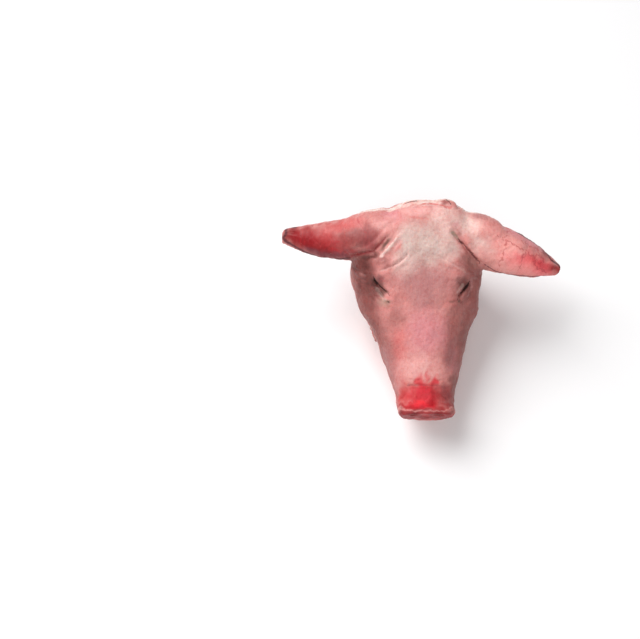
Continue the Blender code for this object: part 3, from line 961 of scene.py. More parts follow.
# Where they lie in the main view: the face's top from the poll down, the ears, snout and eyes
PATCHES = (
    Patch((425, 246), (42, 38), PALE, 0.95),
    # A painted soft highlight on the right of the forehead, over its pale skin
    Patch((446, 240), (14, 20), CREAM, 0.6),
    Patch((406, 240), (12, 22), PALE, 0.7),
    Patch((424, 280), (40, 24), DUSTY, 0.8),
    Patch((424, 300), (24, 16), DUSTY, 0.7),
    Patch((425, 332), (28, 34), PINK, 0.85),
    Patch((420, 366), (26, 20), BLUSH, 0.8),
    Patch((399, 345), (13, 28), ROSE, 0.7, 12),
    Patch((396, 318), (12, 18), TAUPE, 0.5, 14),
    Patch((448, 345), (11, 40), PINK, 0.75, -12),
    Patch((446, 202), (7, 4), TAUPE, 0.7, 20),
    Patch((434, 201), (10, 3), PALE, 0.6),
    Patch((425, 210), (44, 9), BLUSH, 0.9),
    Patch((392, 216), (14, 9), PINK, 0.8),
    Patch((384, 224), (22, 10), BLUSH, 0.7, -20),
    Patch((366, 236), (20, 18), WINE, 0.85),
    Patch((350, 240), (18, 18), TAUPE, 0.8),
    Patch((344, 225), (26, 9), TERRACOTTA, 0.7, -10),
    Patch((326, 240), (18, 18), TERRACOTTA, 0.9, -12),
    Patch((306, 240), (20, 16), CRIMSON, 0.95, 14),
    Patch((294, 236), (16, 12), MAROON, 0.95, 20),
    Patch((309, 243), (10, 7), MAROON, 0.8, 30),
    # The dark band along the left ear's lower edge: its own deep red with painted shade
    Patch((320, 250), (30, 8), MAROON, 0.9, 14),
    Patch((336, 250), (10, 5), RED, 0.6, 10),
    Patch((470, 225), (22, 15), CREAM, 0.9, 20),
    Patch((482, 246), (20, 14), CREAM, 0.9, 30),
    Patch((508, 252), (28, 20), SALMON, 0.9, 28),
    Patch((530, 265), (36, 15), CORAL, 0.95, 16),
    Patch((539, 264), (18, 8), RED, 0.6, 26),
    Patch((555, 269), (10, 7), CRIMSON, 0.85, 20),
    Patch((526, 239), (36, 8), PINK, 0.85, 33),
    Patch((545, 253), (10, 6), MAROON, 0.7, 50),
    Patch((456, 225), (3.5, 3), PINK, 0.7),
    # Painted shade in the hollows of both temples
    Patch((361, 266), (11, 8), UMBER, 0.6),
    Patch((471, 262), (11, 8), GREIGE, 0.7, 20),
    Patch((403, 394), (10, 15), TERRACOTTA, 0.95, 8),
    Patch((445, 395), (12, 16), WINE, 0.95),
    Patch((422.5, 397), (21, 15), RED, 0.95, 0, 0.5),
    Patch((448, 405), (9, 5), CRIMSON, 0.8),
    Patch((419, 405.5), (27, 6), RED, 0.95, 0, 0.4),
    Patch((418.5, 380.5), (5, 10), RED, 0.8, -12),
    Patch((434.5, 381), (5, 10), RED, 0.85, 18),
    Patch((427, 376), (3.5, 12), RED, 0.5, 20),
    Patch((425, 388), (20, 8), RED, 0.85),
    Patch((421, 403.5), (11, 5), SCARLET, 0.9),
    Patch((430.5, 401.5), (4.5, 7), CRIMSON, 0.7, 10),
    Patch((432.8, 391), (4, 8), CRIMSON, 0.6, 12),
    Patch((415, 392), (4, 8), TERRACOTTA, 0.6, -8),
    Patch((401, 405.5), (6, 4.5), CRIMSON, 0.8),
    Patch((425.5, 416), (36, 9), BRICK, 0.95, 0, 0.7),
    Patch((426, 420.2), (24, 2.4), ROSE, 0.6, 0, 0.3),
    Patch((400.5, 411.5), (5, 5.5), MAROON, 0.6),
    Patch((451, 411), (5, 5), TAUPE, 0.7),
    Patch((425.5, 413.5), (7, 3), TERRACOTTA, 0.7),
    # Painted shade in the nostrils' openings
    Patch((413.5, 414.5), (7, 3.2), MAROON, 0.7),
    Patch((437.5, 415), (7, 3.2), MAROON, 0.7),
    Patch((399, 247.5), (4, 6), TERRACOTTA, 0.75, 30),
    # Painted shade in the hollow beside the left ear's ridge and under the ear's edge
    Patch((386, 243), (4.5, 12), OLIVE, 0.85, 38),
    Patch((372, 256), (12, 3.5), UMBER, 0.7, -18),
    # Round the eyes: the lids' own greys and browns, with painted shade under the brows and along the slits;
    # the ducts keep their own yellow-brown
    Patch((378, 284), (9, 13), OLIVE, 0.45, -38),
    Patch((374.5, 284.5), (5, 9), SOOT, 0.9, -28),
    Patch((381.5, 279.5), (8, 5), PLUM, 0.6, 40),
    Patch((382, 294), (6, 6), OLIVE, 0.7, 45),
    Patch((388, 302), (7, 4), GREIGE, 0.7),
    Patch((460.5, 281), (8, 5), TAUPE, 0.6, -45),
    Patch((467, 287), (8, 12), OLIVE, 0.45, 32),
    Patch((466.5, 288.5), (5, 9), UMBER, 0.95, 30),
    Patch((469, 291), (3, 6), UMBER, 0.7),
    Patch((460, 301), (4.5, 3), OLIVE, 0.8),
    Patch((452, 300), (5, 3), OLIVE, 0.6),
)
# The darker sides of the face, laid under the patches: the skin's deeper tone there, and painted shade where
# the sides turn away from the light
FLANK_TONE_AND_SHADE = (
    Stroke(((350, 258), (352, 276), (357, 294), (364, 312), (372, 330)), 13.0, TAUPE, 0.9),
    Stroke(((366, 318), (374, 336), (382, 354), (388, 368)), 9.0, TAUPE, 0.7),
    Stroke(((388, 368), (391, 384), (395, 402)), 6.0, TAUPE, 0.7),
    Stroke(((355, 270), (360, 288), (366, 304)), 5.0, UMBER, 0.5),
    Stroke(((486, 262), (481, 280), (476, 300), (470, 320), (464, 340)), 14.0, TAUPE, 0.9),
    Stroke(((466, 332), (461, 350), (457, 368), (454, 386)), 11.0, TAUPE, 0.85),
    Stroke(((455, 382), (454, 394), (454, 406)), 6.0, TAUPE, 0.8),
)
# Deeper and lighter tones over the patches: painted shade along both flanks, round the eyes, in the left
# temple and along the left ear's lower edge, painted light on the right ear, and the ears' and snout's
# deeper reds
TONE_SHADE_AND_LIGHT = (
    # Painted shade along the left flank and round the left eye
    Stroke(((364, 258), (367, 270), (368, 282), (369, 292), (370, 302)), 16.0, UMBER, 0.9, 0.0),
    Stroke(((366, 300), (370, 314), (376, 328), (382, 342), (386, 356)), 18.0, TAUPE, 0.8, 0.0),
    Stroke(((386, 352), (391, 370), (394, 386)), 11.0, DUSTY, 0.6, 0.0),
    Patch((380, 289), (11, 9), UMBER, 0.7, 45),
    Patch((384, 303), (9, 6), GREIGE, 0.5, 30),
    # Painted shade along the right flank and round the right eye
    Stroke(((470, 260), (472, 276), (470, 292)), 15.0, TAUPE, 0.85, 0.0),
    Stroke(((464, 296), (457, 310), (453, 326), (451, 342), (449, 358)), 16.0, TAUPE, 0.75, 0.0),
    Patch((463, 284), (9, 9), UMBER, 0.6, -45),
    # Lighter forehead, brows and poll, with a painted soft highlight on the right of the forehead
    Patch((445, 217), (24, 16), CREAM, 0.75),
    Patch((404, 264), (17, 20), CREAM, 0.6),
    Patch((453, 252), (12, 12), PALE, 0.5),
    Patch((397, 243), (8, 10), BLUSH, 0.6),
    # Painted light on the right ear, where it turns away from the light
    Stroke(((480, 252), (494, 264), (510, 268), (528, 270)), 16.0, SALMON, 0.6, 0.0),
    Stroke(((486, 228), (498, 238), (512, 246)), 15.0, SALMON, 0.6, 0.0),
    Stroke(((296, 236), (312, 241), (326, 246), (342, 249)), 15.0, CRIMSON, 0.7, 0.0),
    Patch((345, 239), (24, 12), BRICK, 0.5),
    Patch((368, 244), (13, 11), WINE, 0.8),
    Patch((353, 221), (22, 8), ROSE, 0.5),
    Patch((352, 252), (12, 6), BRICK, 0.7),
    Patch((437, 397), (9, 17), CRIMSON, 0.7),
    Patch((411, 399), (7, 10), TERRACOTTA, 0.5),
    Patch((410, 408), (12, 4), CRIMSON, 0.6),
    Patch((440, 409), (12, 4), CRIMSON, 0.7),
    # Painted shade along the left ear's lower edge, over its dark red
    Stroke(((308, 250), (318, 254), (330, 256), (344, 255)), 7.0, PLUM, 0.8, 0.0),
    # Painted shade in the left temple's hollow and its crease
    Patch((354, 267), (8, 10), UMBER, 0.8, 0, 0.0),
    Patch((382, 261), (10, 9), TAUPE, 0.7),
    Patch((481, 216), (12, 5), DUSTY, 0.6, 10),
    Patch((309, 231), (20, 8), CRIMSON, 0.6, -4),
)
# Thin coloured lines along folds and edges: painted highlights along the ridges and the snout's rim, painted
# shade in the creases and under the left ear's edge, and the nape's pale cut edge and the eyes' lids and
# ducts
STROKES = (
    Stroke(((421, 205), (430, 204), (438, 205), (451, 208)), 1.6, ROSE, 0.8),
    Stroke(((410, 217), (420, 217.7), (428, 219)), 1.4, ROSE, 0.5),
    Stroke(((389, 211), (400, 206.5), (412, 203.5), (428, 201.5), (440, 203)), 1.8, CREAM, 0.7),
    # Painted highlight along the snout's rim
    Stroke(((401, 409), (412.5, 410.8), (431, 410.8), (445, 411.4), (452, 407)), 1.1, BLUSH, 0.45),
    # Painted highlights along the ridge beside the left ear and along both brows
    Stroke(((400, 234), (393, 243.5), (387, 250), (381, 256)), 2.4, CREAM, 0.9),
    Stroke(((409, 249), (402, 262), (391, 268), (381, 271)), 1.6, CREAM, 0.3),
    Stroke(((443, 260), (455, 266), (465, 271)), 1.6, CREAM, 0.2),
    # Painted shade in the creases of the left brow and the snout
    Stroke(((407, 254), (401, 261), (393, 266)), 1.0, TAUPE, 0.6),
    Stroke(((407, 385.6), (424, 385.2), (439, 385.6)), 0.9, WINE, 0.4),
    # Painted shade in the crease at the right ear's root
    Stroke(((452.5, 232.5), (458, 238)), 2.4, GREIGE, 0.8),
    Stroke(((458, 239), (464, 245), (469, 250), (479, 262)), 1.4, UMBER, 0.85),
    # Painted shadow under the left ear's edge at its root
    Stroke(((350, 256.5), (360, 254.5), (373, 251), (381, 243.5), (385, 238)), 1.8, BRICK, 0.7),
    Stroke(((387.6, 301.2), (389, 302)), 1.6, UMBER, 0.6),
    Stroke(((376.5, 289), (381, 295), (385, 300)), 2.4, PALE, 0.3),
    Stroke(((462.5, 285), (457.5, 292)), 2.2, PALE, 0.25),
    Stroke(((459.5, 300.4), (458.6, 302)), 1.6, OLIVE, 0.8),
    Stroke(((471.5, 279), (471.5, 288), (468, 296)), 1.4, DUSTY, 0.6),
)
# Thin dark lines, each with its width in pixels: painted shade in the eye slits and in a crease at the right
# ear's root, the ducts' own dark spots, and two lines at the nape
SHADE_AND_DARK_LINES = (
    (((373.4, 276.6), (376, 281), (380, 286), (384.5, 290), (388.4, 293.8), (389.6, 296)), 0.5),
    (((374, 278), (376, 281.4), (380, 286), (385.5, 291)), 0.85),
    (((374.2, 279.6), (375.6, 282), (377, 284)), 1.3),
    (((388, 301.7), (388.6, 301.9)), 0.7),
    (((469.6, 281), (466.5, 285.5), (463, 289.5), (458.4, 296)), 0.6),
    (((468.4, 283.4), (466, 287), (463, 290.5), (460.8, 293)), 1.3),
    (((467.2, 285.6), (465.6, 288), (463.8, 290.2)), 2.1),
    (((457.8, 298.5), (457.4, 300.5)), 0.4),
    (((459.4, 241), (461.6, 243.2)), 0.8),
    (((405.5, 203.4), (410.4, 201.6), (417, 200.8)), 0.5),
    (((446, 199.6), (449, 201.5), (451, 204.5)), 0.6),
)
DARK_LINE_REACH = 2.0
SHADE_AND_DARK_LINE_COLOUR = (36, 8, 6)
# The ears' thin veins, and how far in pixels their distance is kept
VEINS = (
    ((497.5, 236), (507, 240), (517, 247), (525, 250), (533, 257), (541, 264)),
    ((507, 240), (504, 250), (501, 260), (499, 266)),
    ((506, 237), (509, 230), (506, 225)),
    ((522, 241), (530, 246), (537, 249), (541, 254)),
    ((525, 252), (521, 262), (519, 270)),
    ((533, 257), (539, 255), (545, 261)),
    ((533, 259), (537, 268), (546, 272)),
    ((312, 226), (322, 224), (330, 223)),
    ((358, 219), (360, 226), (366, 232)),
    ((324, 233), (331, 238), (336, 246)),
    ((306, 238), (314, 240), (322, 247)),
    ((326, 244), (334, 243), (340, 240)),
)
VEIN_REACH = 3.0
# The ears' dark edges, each with its width in pixels
RIMS = (
    (((289, 243), (298, 248.5), (308, 253.5), (318, 257.3), (328, 259), (338, 259)), 1.3),
    (((338, 259), (350, 258)), 1.0),
    # The left ear's curled tip: its dark edge, with painted shade inside the curl
    (((295.5, 227), (289, 226), (286, 228.5), (286, 233.5)), 1.8),
    (((286, 233.5), (283, 238), (286, 241.5), (290, 243.5)), 2.0),
    (((516, 231.5), (521, 234.5), (535, 243), (545, 249.5), (551, 260)), 0.9),
    (((551, 260), (558, 264.5), (562, 270), (557, 275)), 1.1),
    (((484, 264), (495, 271), (507, 274.5), (532, 276.5), (546, 276)), 0.6),
)
RIM_COLOUR = (78, 26, 36)


@dataclass
class HeadSkin:
    """The head itself: face, snout, ears and jaw, with the cheeks' cut edge and the throat.

    Lengths are in millimetres; drift and shake are in pixels of the main view.
    """

    voxel: float = 1.35
    rounds: int = 22
    triangles: int = 190_000
    spared_facing: float = 0.05
    swell_length: float = 19.0
    swell_height: float = 0.28
    rough_length: float = 5.5
    rough_height: float = 0.12
    ripple: float = 0.9
    clearance: float = 1.5
    cover_rounds: int = 6
    drift_length: float = 14.0
    drift: float = 1.1
    shade_drift: float = 0.6
    shake_length: float = 6.0
    shake: float = 0.35
    under_ear: float = 0.6
    line_facing: float = 0.3
    lash_facing: float = 0.9
    nostril_shade: float = 0.9

    def lengthwise(self, surface: Surface) -> np.ndarray:
        """Each point's place along the head, in millimetres from the middle of its skull."""
        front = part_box("head")[0].y / MM
        return surface.points[:, 1] - front - SNOUT_TO_ORIGIN

    def bared(self, surface: Surface) -> np.ndarray:
        """Finds the points inside the cheek cut.

        Args:
            surface: the head's surface.

        Returns:
            One share a point, from 0 on the skin to 1 on the flesh.
        """
        x, _, z = surface.points.T
        y = self.lengthwise(surface)
        ripple = waves(surface.points, 9, 5) * self.ripple
        below = along_curve(CUT_EDGE, y) + ripple - z
        behind = y - along_curve(CHIN_EDGE, z) + ripple
        inside = step(np.minimum(below, behind), -0.4, 1.6)
        out = np.abs(x)
        ear = np.maximum(step(z, 116, 124) * step(out, 60, 68), step(out, EAR_REACH, EAR_REACH + 6))
        under = step(-surface.normals[:, 2], 0.2, 0.6) * step(behind, 0, 3)
        sides = np.maximum(step(np.abs(surface.normals[:, 0]), 0.3, 0.55), under)
        return inside * sides * (1 - ear) * (1 - step(y, CUT_BACK, CUT_BACK + 6))

    def sculpt(self, surface: Surface) -> None:
        """Works the eyes, folds, wrinkles and unevenness into the surface.

        Args:
            surface: the head's surface, which is changed.
        """
        tree = surface.tree()
        for place, radius, height in SWELLS:
            surface.swell_at(np.array(VIEW.hit(tree, place)) / MM, radius, height)
            surface.refresh()
        tree = surface.tree()
        for slit in EYE_SLITS.values():
            self.lids(surface, VIEW.line_on(tree, slit))
        for fold, width, depth in FOLDS:
            surface.crease(VIEW.line_on(tree, fold), width, depth)
            surface.refresh()
        for ridge, width, height in RIDGES:
            surface.crease(VIEW.line_on(tree, ridge), width, -height, lip=0.25)
            surface.refresh()
        bare = self.bared(surface)
        soft = waves(surface.points, self.swell_length, 3) * self.swell_height
        rough = waves(surface.points, self.rough_length, 4) * self.rough_height
        lumps = np.abs(waves(surface.points, 13, 8)) * 1.1 - 0.7
        strands = np.abs(waves(surface.points * np.array((1, 0.35, 1)), 4.5, 9)) * 0.5
        heights = (soft + rough) * (1 - bare) + (lumps + strands) * bare
        surface.raise_by(heights * step(surface.points[:, 2], 1, PRESSED_BELOW))
        surface.points[:, 2] = np.maximum(surface.points[:, 2], 0)
        surface.refresh()

    def lids(self, surface: Surface, line: np.ndarray) -> None:
        """Closes an eye: two swollen lids with a slit between them.

        Args:
            surface: the head's surface, which is changed.
            line: places along the slit, in millimetres.
        """
        away = line_distance(surface.points, line)
        lids = falloff(np.abs(away - LID_REACH * LID_MIDDLE) / LID_REACH) * LID_HEIGHT
        surface.raise_by(lids)
        surface.refresh()
        surface.crease(line, SLIT_WIDTH, SLIT_DEPTH, lip=0.1)
        surface.refresh()

    def covered(self, surface: Surface) -> np.ndarray:
        """Finds the points that the head itself hides from the main view.

        Args:
            surface: the head's surface.

        Returns:
            One share a point, from 0 in the open to 1 when hidden, with a soft edge.
        """
        tree, place = surface.tree(), VIEW.place()
        starts = (surface.points + surface.normals * self.clearance) * MM
        hits = [tree.ray_cast(Vector(p), (place - Vector(p)).normalized())[0] for p in starts]
        return surface.spread(np.array([hit is not None for hit in hits], float), self.cover_rounds)

    def inside_nostrils(self, surface: Surface) -> np.ndarray:
        """Finds the points inside the nostrils.

        Args:
            surface: the head's surface.

        Returns:
            One share a point, from 0 outside to 1 in a nostril's depth.
        """
        x, y, z = surface.points.T
        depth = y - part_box("head")[0].y / MM
        deep = step(depth, NOSTRIL_DEPTHS[0], NOSTRIL_DEPTHS[0] + 3) * (depth < NOSTRIL_DEPTHS[1])
        across, up = NOSTRIL_RADII
        away = [np.hypot((x - at) / across, (z - NOSTRIL_Z) / up) for at in NOSTRIL_X]
        return surface.spread(deep * (1 - step(np.min(away, axis=0), 1.0, 1.2)), 2)

    def pair_of_waves(self, surface: Surface, length: float, seed: int) -> np.ndarray:
        """Two uneven fields side by side, which shift pixels across and down."""
        return np.stack([waves(surface.points, length, s) for s in (seed, seed + 1)], axis=1)

    def paint(self, surface: Surface) -> None:
        """Colours the skin and the cut flesh, and keeps where lines and hairs lie.

        Args:
            surface: the head's surface, which gets its attributes.
        """
        pixels = VIEW.pixels_of(surface.points)
        out = np.abs(surface.points[:, 0])
        y = self.lengthwise(surface)
        back = np.array(VIEW.axes()[2])
        covered = self.covered(surface)
        facing = step(surface.normals @ back, -0.25, 0.1) * (1 - covered)
        under_ear = self.under_ear * step(out, EAR_REACH - 10, EAR_REACH + 4)
        chin = step(-y, CHIN_BACK, CHIN_BACK + 6) * (1 - step(surface.points[:, 2], CHIN_TOP - 4, CHIN_TOP))
        seen = np.maximum(facing * (1 - chin), under_ear)
        open_side = step(surface.normals @ back, -0.05, 0.28) * seen
        drift = self.pair_of_waves(surface, self.drift_length, 21) * self.drift
        shake = self.pair_of_waves(surface, self.shake_length, 23) * self.shake
        tone = np.tile(np.array(linear(SKIN)), (surface.count, 1))
        # In order: the flanks' tone and painted shade, the patches, the painted shade and light over them,
        # and the thin lines of painted highlight and shade
        for areas, places, share in (
            (FLANK_TONE_AND_SHADE, pixels + drift, open_side),
            (PATCHES, pixels + drift, seen),
            (TONE_SHADE_AND_LIGHT, pixels + drift * self.shade_drift, open_side),
            (STROKES, pixels + shake, facing),
        ):
            for area in areas:
                tone = layer(tone, area.colour, area.share(places) * share)
        # Painted shade inside the nostril holes, on the walls that the main view doesn't see
        tone = layer(tone, MAROON, self.inside_nostrils(surface) * covered * self.nostril_shade)
        neck = step(y, NECK_BACK, NECK_BACK + 5) * step(surface.normals[:, 1], 0.2, 0.6) * (out < EAR_REACH)
        bare = np.maximum(self.bared(surface), neck)
        tone = tone * (1 - bare[:, None]) + self.flesh(surface) * bare[:, None]
        surface.keep_colours("tone", tone)
        surface.keep_values("bare", bare)
        self.keep_lines(surface, pixels, shake, facing)
        self.keep_hairs(surface, pixels, bare, facing)

    def keep_lines(
        self, surface: Surface, pixels: np.ndarray, shake: np.ndarray, facing: np.ndarray
    ) -> None:
        """Keeps each point's distance to the veins, the dark lines of painted shade and dark spots, and the
        ears' dark rims.

        Args:
            surface: the head's surface, which gets the distances.
            pixels: the pixel of each point.
            shake: how far each point's pixel wanders.
            facing: how far each point faces the main view.
        """
        wandering = pixels + shake * 2.0
        reach = [line_distance(wandering, np.array(vein, float)) for vein in VEINS]
        vein = np.clip(np.min(reach, axis=0) / VEIN_REACH, 0, 1)
        surface.keep_values("vein", np.where(facing > self.line_facing, vein, 1.0))
        for word, lines in (("ink", SHADE_AND_DARK_LINES), ("rim", RIMS)):
            reach = [line_distance(pixels, np.array(line, float)) / width for line, width in lines]
            nearest = np.clip(np.min(reach, axis=0) / DARK_LINE_REACH, 0, 1)
            surface.keep_values(word, np.where(facing > self.line_facing, nearest, 1.0))

    def keep_hairs(
        self, surface: Surface, pixels: np.ndarray, bare: np.ndarray, facing: np.ndarray
    ) -> None:
        """Keeps how thickly lashes and bristles grow at each point.

        Args:
            surface: the head's surface, which gets the shares.
            pixels: the pixel of each point.
            bare: how far each point lies in the flesh.
            facing: how far each point faces the main view.
        """
        reach = [line_distance(pixels, np.array(line, float)) for line in LASH_LINES]
        lash = falloff(np.clip(np.min(reach, axis=0) / LASH_WIDTH, 0, 1)) * (facing > self.lash_facing)
        surface.keep_values("lash", lash)
        hair = step(waves(surface.points, HAIR_PATCHES, 25), -0.6, 1.2) * (1 - bare)
        hair = hair * step(surface.points[:, 2], HAIRLESS_BELOW, HAIRLESS_BELOW + 6)
        surface.keep_values("hair", hair * (1 - np.clip(lash * 9, 0, 1)))

    def flesh(self, surface: Surface) -> np.ndarray:
        """Colours the cut: a band of white fat along the skin, then fascia, fat and lean meat.

        Args:
            surface: the head's surface.

        Returns:
            One linear colour a point.
        """
        points = surface.points
        edge = along_curve(CUT_EDGE, self.lengthwise(surface)) - points[:, 2]
        tone = np.tile(np.array(linear(FASCIA)), (surface.count, 1))
        lean = step(waves(points, 24, 11), 0.1, 0.9)
        tone = layer(tone, LEAN, lean * 0.6)
        fat = step(waves(points, 17, 12), 0.3, 1.0)
        tone = layer(tone, FAT, fat * 0.6)
        band = 1 - step(edge + waves(points, 12, 13) * 2.5, 8, 15)
        tone = layer(tone, WHITE_FAT, band * 0.95)
        streak = step(np.abs(waves(points * np.array((1, 0.3, 1)), 5, 14)), 0.9, 1.6)
        return layer(tone, FAT_STREAK, streak * 0.4)

    def make(self) -> bpy.types.Object:
        """Makes the head's visible surface.

        Returns:
            The skin, which takes the place of the node head.
        """
        surface = refined("head", self.voxel, self.rounds)
        self.sculpt(surface)
        towards = surface.normals @ np.array(VIEW.axes()[2])
        surface = Surface(thinned(surface.mesh, self.triangles, towards > self.spared_facing))
        self.paint(surface)
        piece = new_piece("skin", surface.mesh, SkinFinish().make())
        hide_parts("head")
        return piece


@dataclass(frozen=True)
class Hairs:
    """Short hairs that grow where the skin's mesh keeps a share for them."""

    name: str
    share: str
    finish: PlainFinish
    density: float
    length: float
    thickness: float
    lean: float
    seed: int

    def tree(self, material: bpy.types.Material) -> bpy.types.NodeTree:
        """Builds the nodes that scatter the hairs.

        Args:
            material: the hairs' material.

        Returns:
            The node group, with its inputs named Geometry, Density, Length and Seed.
        """
        group = bpy.data.node_groups.new(self.name, "GeometryNodeTree")
        for word, kind in (
            ("Geometry", "Geometry"), ("Density", "Float"), ("Length", "Float"), ("Seed", "Int")
        ):
            group.interface.new_socket(word, in_out="INPUT", socket_type="NodeSocket" + kind)
        group.interface.new_socket("Geometry", in_out="OUTPUT", socket_type="NodeSocketGeometry")
        add, join = group.nodes.new, group.links.new
        given, result = add("NodeGroupInput"), add("NodeGroupOutput")
        share = add("GeometryNodeInputNamedAttribute")
        share.data_type = "FLOAT"
        share.inputs["Name"].default_value = self.share
        amount = add("ShaderNodeMath")
        amount.operation = "MULTIPLY"
        join(given.outputs["Density"], amount.inputs[0])
        join(share.outputs["Attribute"], amount.inputs[1])
        spread = add("GeometryNodeDistributePointsOnFaces")
        join(given.outputs["Geometry"], spread.inputs["Mesh"])
        join(amount.outputs["Value"], spread.inputs["Density"])
        join(given.outputs["Seed"], spread.inputs["Seed"])
        hair = add("GeometryNodeMeshCone")
        hair.inputs["Vertices"].default_value = 4
        hair.inputs["Radius Top"].default_value = 0.0
        hair.inputs["Radius Bottom"].default_value = self.thickness * MM / 2
        join(given.outputs["Length"], hair.inputs["Depth"])
        way = add("FunctionNodeRandomValue")
        way.data_type = "FLOAT_VECTOR"
        lean = math.radians(self.lean)
        way.inputs["Min"].default_value = (-lean, -lean, -math.pi)
        way.inputs["Max"].default_value = (lean, lean, math.pi)
        join(given.outputs["Seed"], way.inputs["Seed"])
        turn = add("FunctionNodeEulerToRotation")
        join(way.outputs["Value"], turn.inputs["Euler"])
        turned = add("FunctionNodeRotateRotation")
        turned.rotation_space = "LOCAL"
        join(spread.outputs["Rotation"], turned.inputs["Rotation"])
        join(turn.outputs["Rotation"], turned.inputs["Rotate By"])
        sizes = add("FunctionNodeRandomValue")
        sizes.inputs[2].default_value, sizes.inputs[3].default_value = 0.45, 1.0
        placed = add("GeometryNodeInstanceOnPoints")
        join(spread.outputs["Points"], placed.inputs["Points"])
        join(hair.outputs["Mesh"], placed.inputs["Instance"])
        join(turned.outputs["Rotation"], placed.inputs["Rotation"])
        join(sizes.outputs[1], placed.inputs["Scale"])
        real = add("GeometryNodeRealizeInstances")
        join(placed.outputs["Instances"], real.inputs["Geometry"])
        dyed = add("GeometryNodeSetMaterial")
        dyed.inputs["Material"].default_value = material
        join(real.outputs["Geometry"], dyed.inputs["Geometry"])
        join(dyed.outputs["Geometry"], result.inputs["Geometry"])
        return group

    def make(self, skin: bpy.types.Object) -> bpy.types.Object:
        """Grows the hairs on the skin.

        Args:
            skin: the piece that they grow on.

        Returns:
            The hairs as one piece.
        """
        material = self.finish.make()
        work = helper(self.name + "_roots", skin.data.copy())
        scatter = work.modifiers.new("scatter", "NODES")
        scatter.node_group = self.tree(material)
        values = {"Density": self.density, "Length": self.length * MM, "Seed": self.seed}
        for item in scatter.node_group.interface.items_tree:
            if item.in_out == "INPUT" and item.name in values:
                scatter[item.identifier] = values[item.name]
        return new_piece(self.name, evaluated(work), material)


HAIRS = (
    Hairs(
        "lashes", "lash", PlainFinish("lashes", (66, 52, 44), (110, 92, 80), 0.5),
        160_000, 6.5, 0.3, 50, 3,
    ),
    Hairs(
        "bristles", "hair", PlainFinish("bristles", (214, 176, 156), (184, 140, 122), 0.5),
        5_000, 4.5, 0.16, 60, 5,
    ),
)
# Where the lashes grow beside each eye, and how wide their band is in pixels
LASH_LINES = (
    ((372.6, 278.5), (374.6, 283), (377.5, 287.5), (381, 291)),
    ((470.8, 283), (469.6, 287), (467, 290.5)),
)
LASH_WIDTH = 1.6
# How far it is from one patch of thicker bristles to the next, in millimetres
HAIR_PATCHES = 40.0
# Where the jaw lies on the floor: the skin is pressed smooth and no bristles stand, in millimetres
PRESSED_BELOW = 9.0
HAIRLESS_BELOW = 8.0


@dataclass
class CheekMuscle:
    """A bared cheek muscle, with its fibres and the silvery film over them."""

    side: Side
    voxel: float = 1.1
    rounds: int = 14
    fibre_height: float = 0.35

    def make(self) -> bpy.types.Object:
        """Makes the muscle on one side.

        Returns:
            The muscle, which takes the place of its node.
        """
        word = self.side.name.lower()
        node = "cheek_muscle_" + word
        surface = refined(node, self.voxel, self.rounds)
        drawn = surface.points * np.array((1.0, 0.55, 0.55))
        strands = np.abs(waves(drawn, 3.2, 31)) * self.fibre_height
        swells = waves(surface.points, 15, 32) * 0.5
        surface.raise_by(strands + swells)
        surface.refresh()
        x, y, z = surface.points.T
        low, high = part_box(node)
        middle = (np.array(low) + np.array(high)) / 2 / MM
        rim = np.hypot((y - middle[1]) / 44, (z - middle[2]) / 44)
        fat = step(rim + waves(surface.points, 11, 33) * 0.1, 0.72, 0.95)
        spots = step(waves(surface.points, 10, 34), 1.1, 1.6) * 0.5
        tone = np.tile(np.array(linear((226, 190, 184))), (surface.count, 1))
        surface.keep_colours("tone", layer(tone, (176, 60, 54), spots))
        surface.keep_values("painted", np.clip(fat * 0.8 + spots, 0, 1))
        finish = MeatFinish(
            node, (122, 74, 88), (168, 122, 130), (220, 196, 200), 0.7, (35 * self.side.value, 0, 0)
        )
        piece = new_piece("masseter_" + word, surface.mesh, finish.make())
        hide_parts(node)
        return piece


# Muscle bellies of the neck cut: place across and up from its middle, and radii, in millimetres
BELLIES = (
    (20, 34, 18, 16), (33, 8, 12, 19), (13, 8, 12, 11), (28, -20, 15, 18), (0, -38, 14, 14),
)
SPINE = (0, 21, 11, 10)


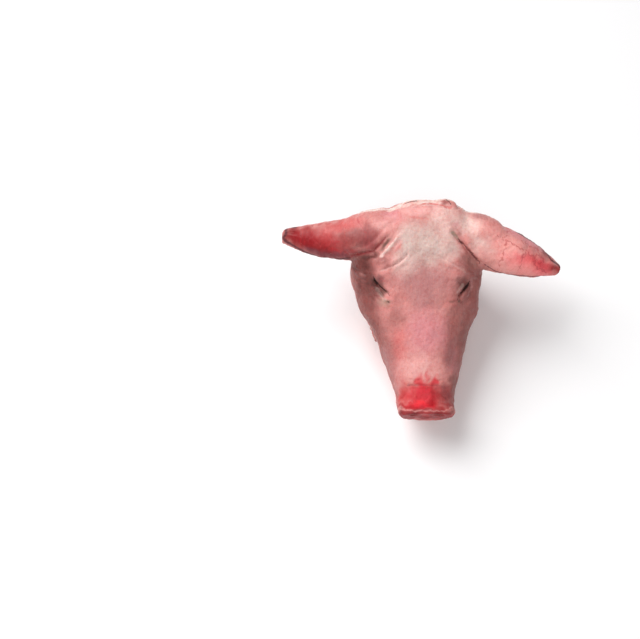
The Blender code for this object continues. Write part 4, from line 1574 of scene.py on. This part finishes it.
@dataclass
class NeckCut:
    """The flesh at the neck cut: muscle bellies between seams of fat, about the spine's hole."""

    voxel: float = 1.3
    rounds: int = 10
    fibre_height: float = 0.3

    def make(self) -> bpy.types.Object:
        """Makes the cut face of the neck.

        Returns:
            The cut face, which takes the place of the node neck_flesh.
        """
        surface = refined("neck_flesh", self.voxel, self.rounds)
        points = surface.points
        grain = np.abs(waves(points, 4, 41)) * self.fibre_height
        surface.raise_by(grain + waves(points, 12, 42) * 0.35)
        surface.refresh()
        points = surface.points
        low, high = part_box("neck_flesh")
        middle = (np.array(low) + np.array(high)) / 2 / MM
        across, up = np.abs(points[:, 0] - middle[0]), points[:, 2] - middle[2]
        drift = waves(points, 16, 43) * 0.1
        rims = [np.hypot((across - x) / a, (up - z) / b) + drift for x, z, a, b in BELLIES]
        fat = step(np.min(rims, axis=0), 0.95, 1.25)
        spine = np.hypot((across - SPINE[0]) / SPINE[2], (up - SPINE[1]) / SPINE[3]) + drift
        tone = np.tile(np.array(linear((236, 206, 194))), (surface.count, 1))
        tone = layer(tone, (206, 150, 138), step(waves(points, 9, 44), 0.2, 1.2) * 0.7)
        tone = layer(tone, (222, 196, 176), 1 - step(spine, 1.0, 1.3))
        tone = layer(tone, (120, 44, 40), 1 - step(spine, 0.35, 0.6))
        blood = step(waves(points, 14, 45), 1.0, 1.6)
        surface.keep_colours("tone", layer(tone, (150, 40, 38), blood * 0.5))
        painted = np.maximum(fat * 0.85, 1 - step(spine, 1.1, 1.3))
        surface.keep_values("painted", np.clip(painted + blood * 0.4, 0, 1))
        finish = MeatFinish(
            "neck_flesh", (142, 44, 40), (196, 96, 86), (224, 168, 158), 0.3, (0, 90, 0), 0.28
        )
        piece = new_piece("neck_cut", surface.mesh, finish.make())
        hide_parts("neck_flesh")
        return piece


def main() -> None:
    """Builds the head's pieces in order."""
    logging.basicConfig(level=logging.INFO, format="%(name)s: %(message)s")
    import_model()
    VIEW.make_camera()
    Studio().make()
    skin = HeadSkin().make()
    for hairs in HAIRS:
        hairs.make(skin)
    for side in Side:
        CheekMuscle(side).make()
    NeckCut().make()


if __name__ == "__main__":
    main()
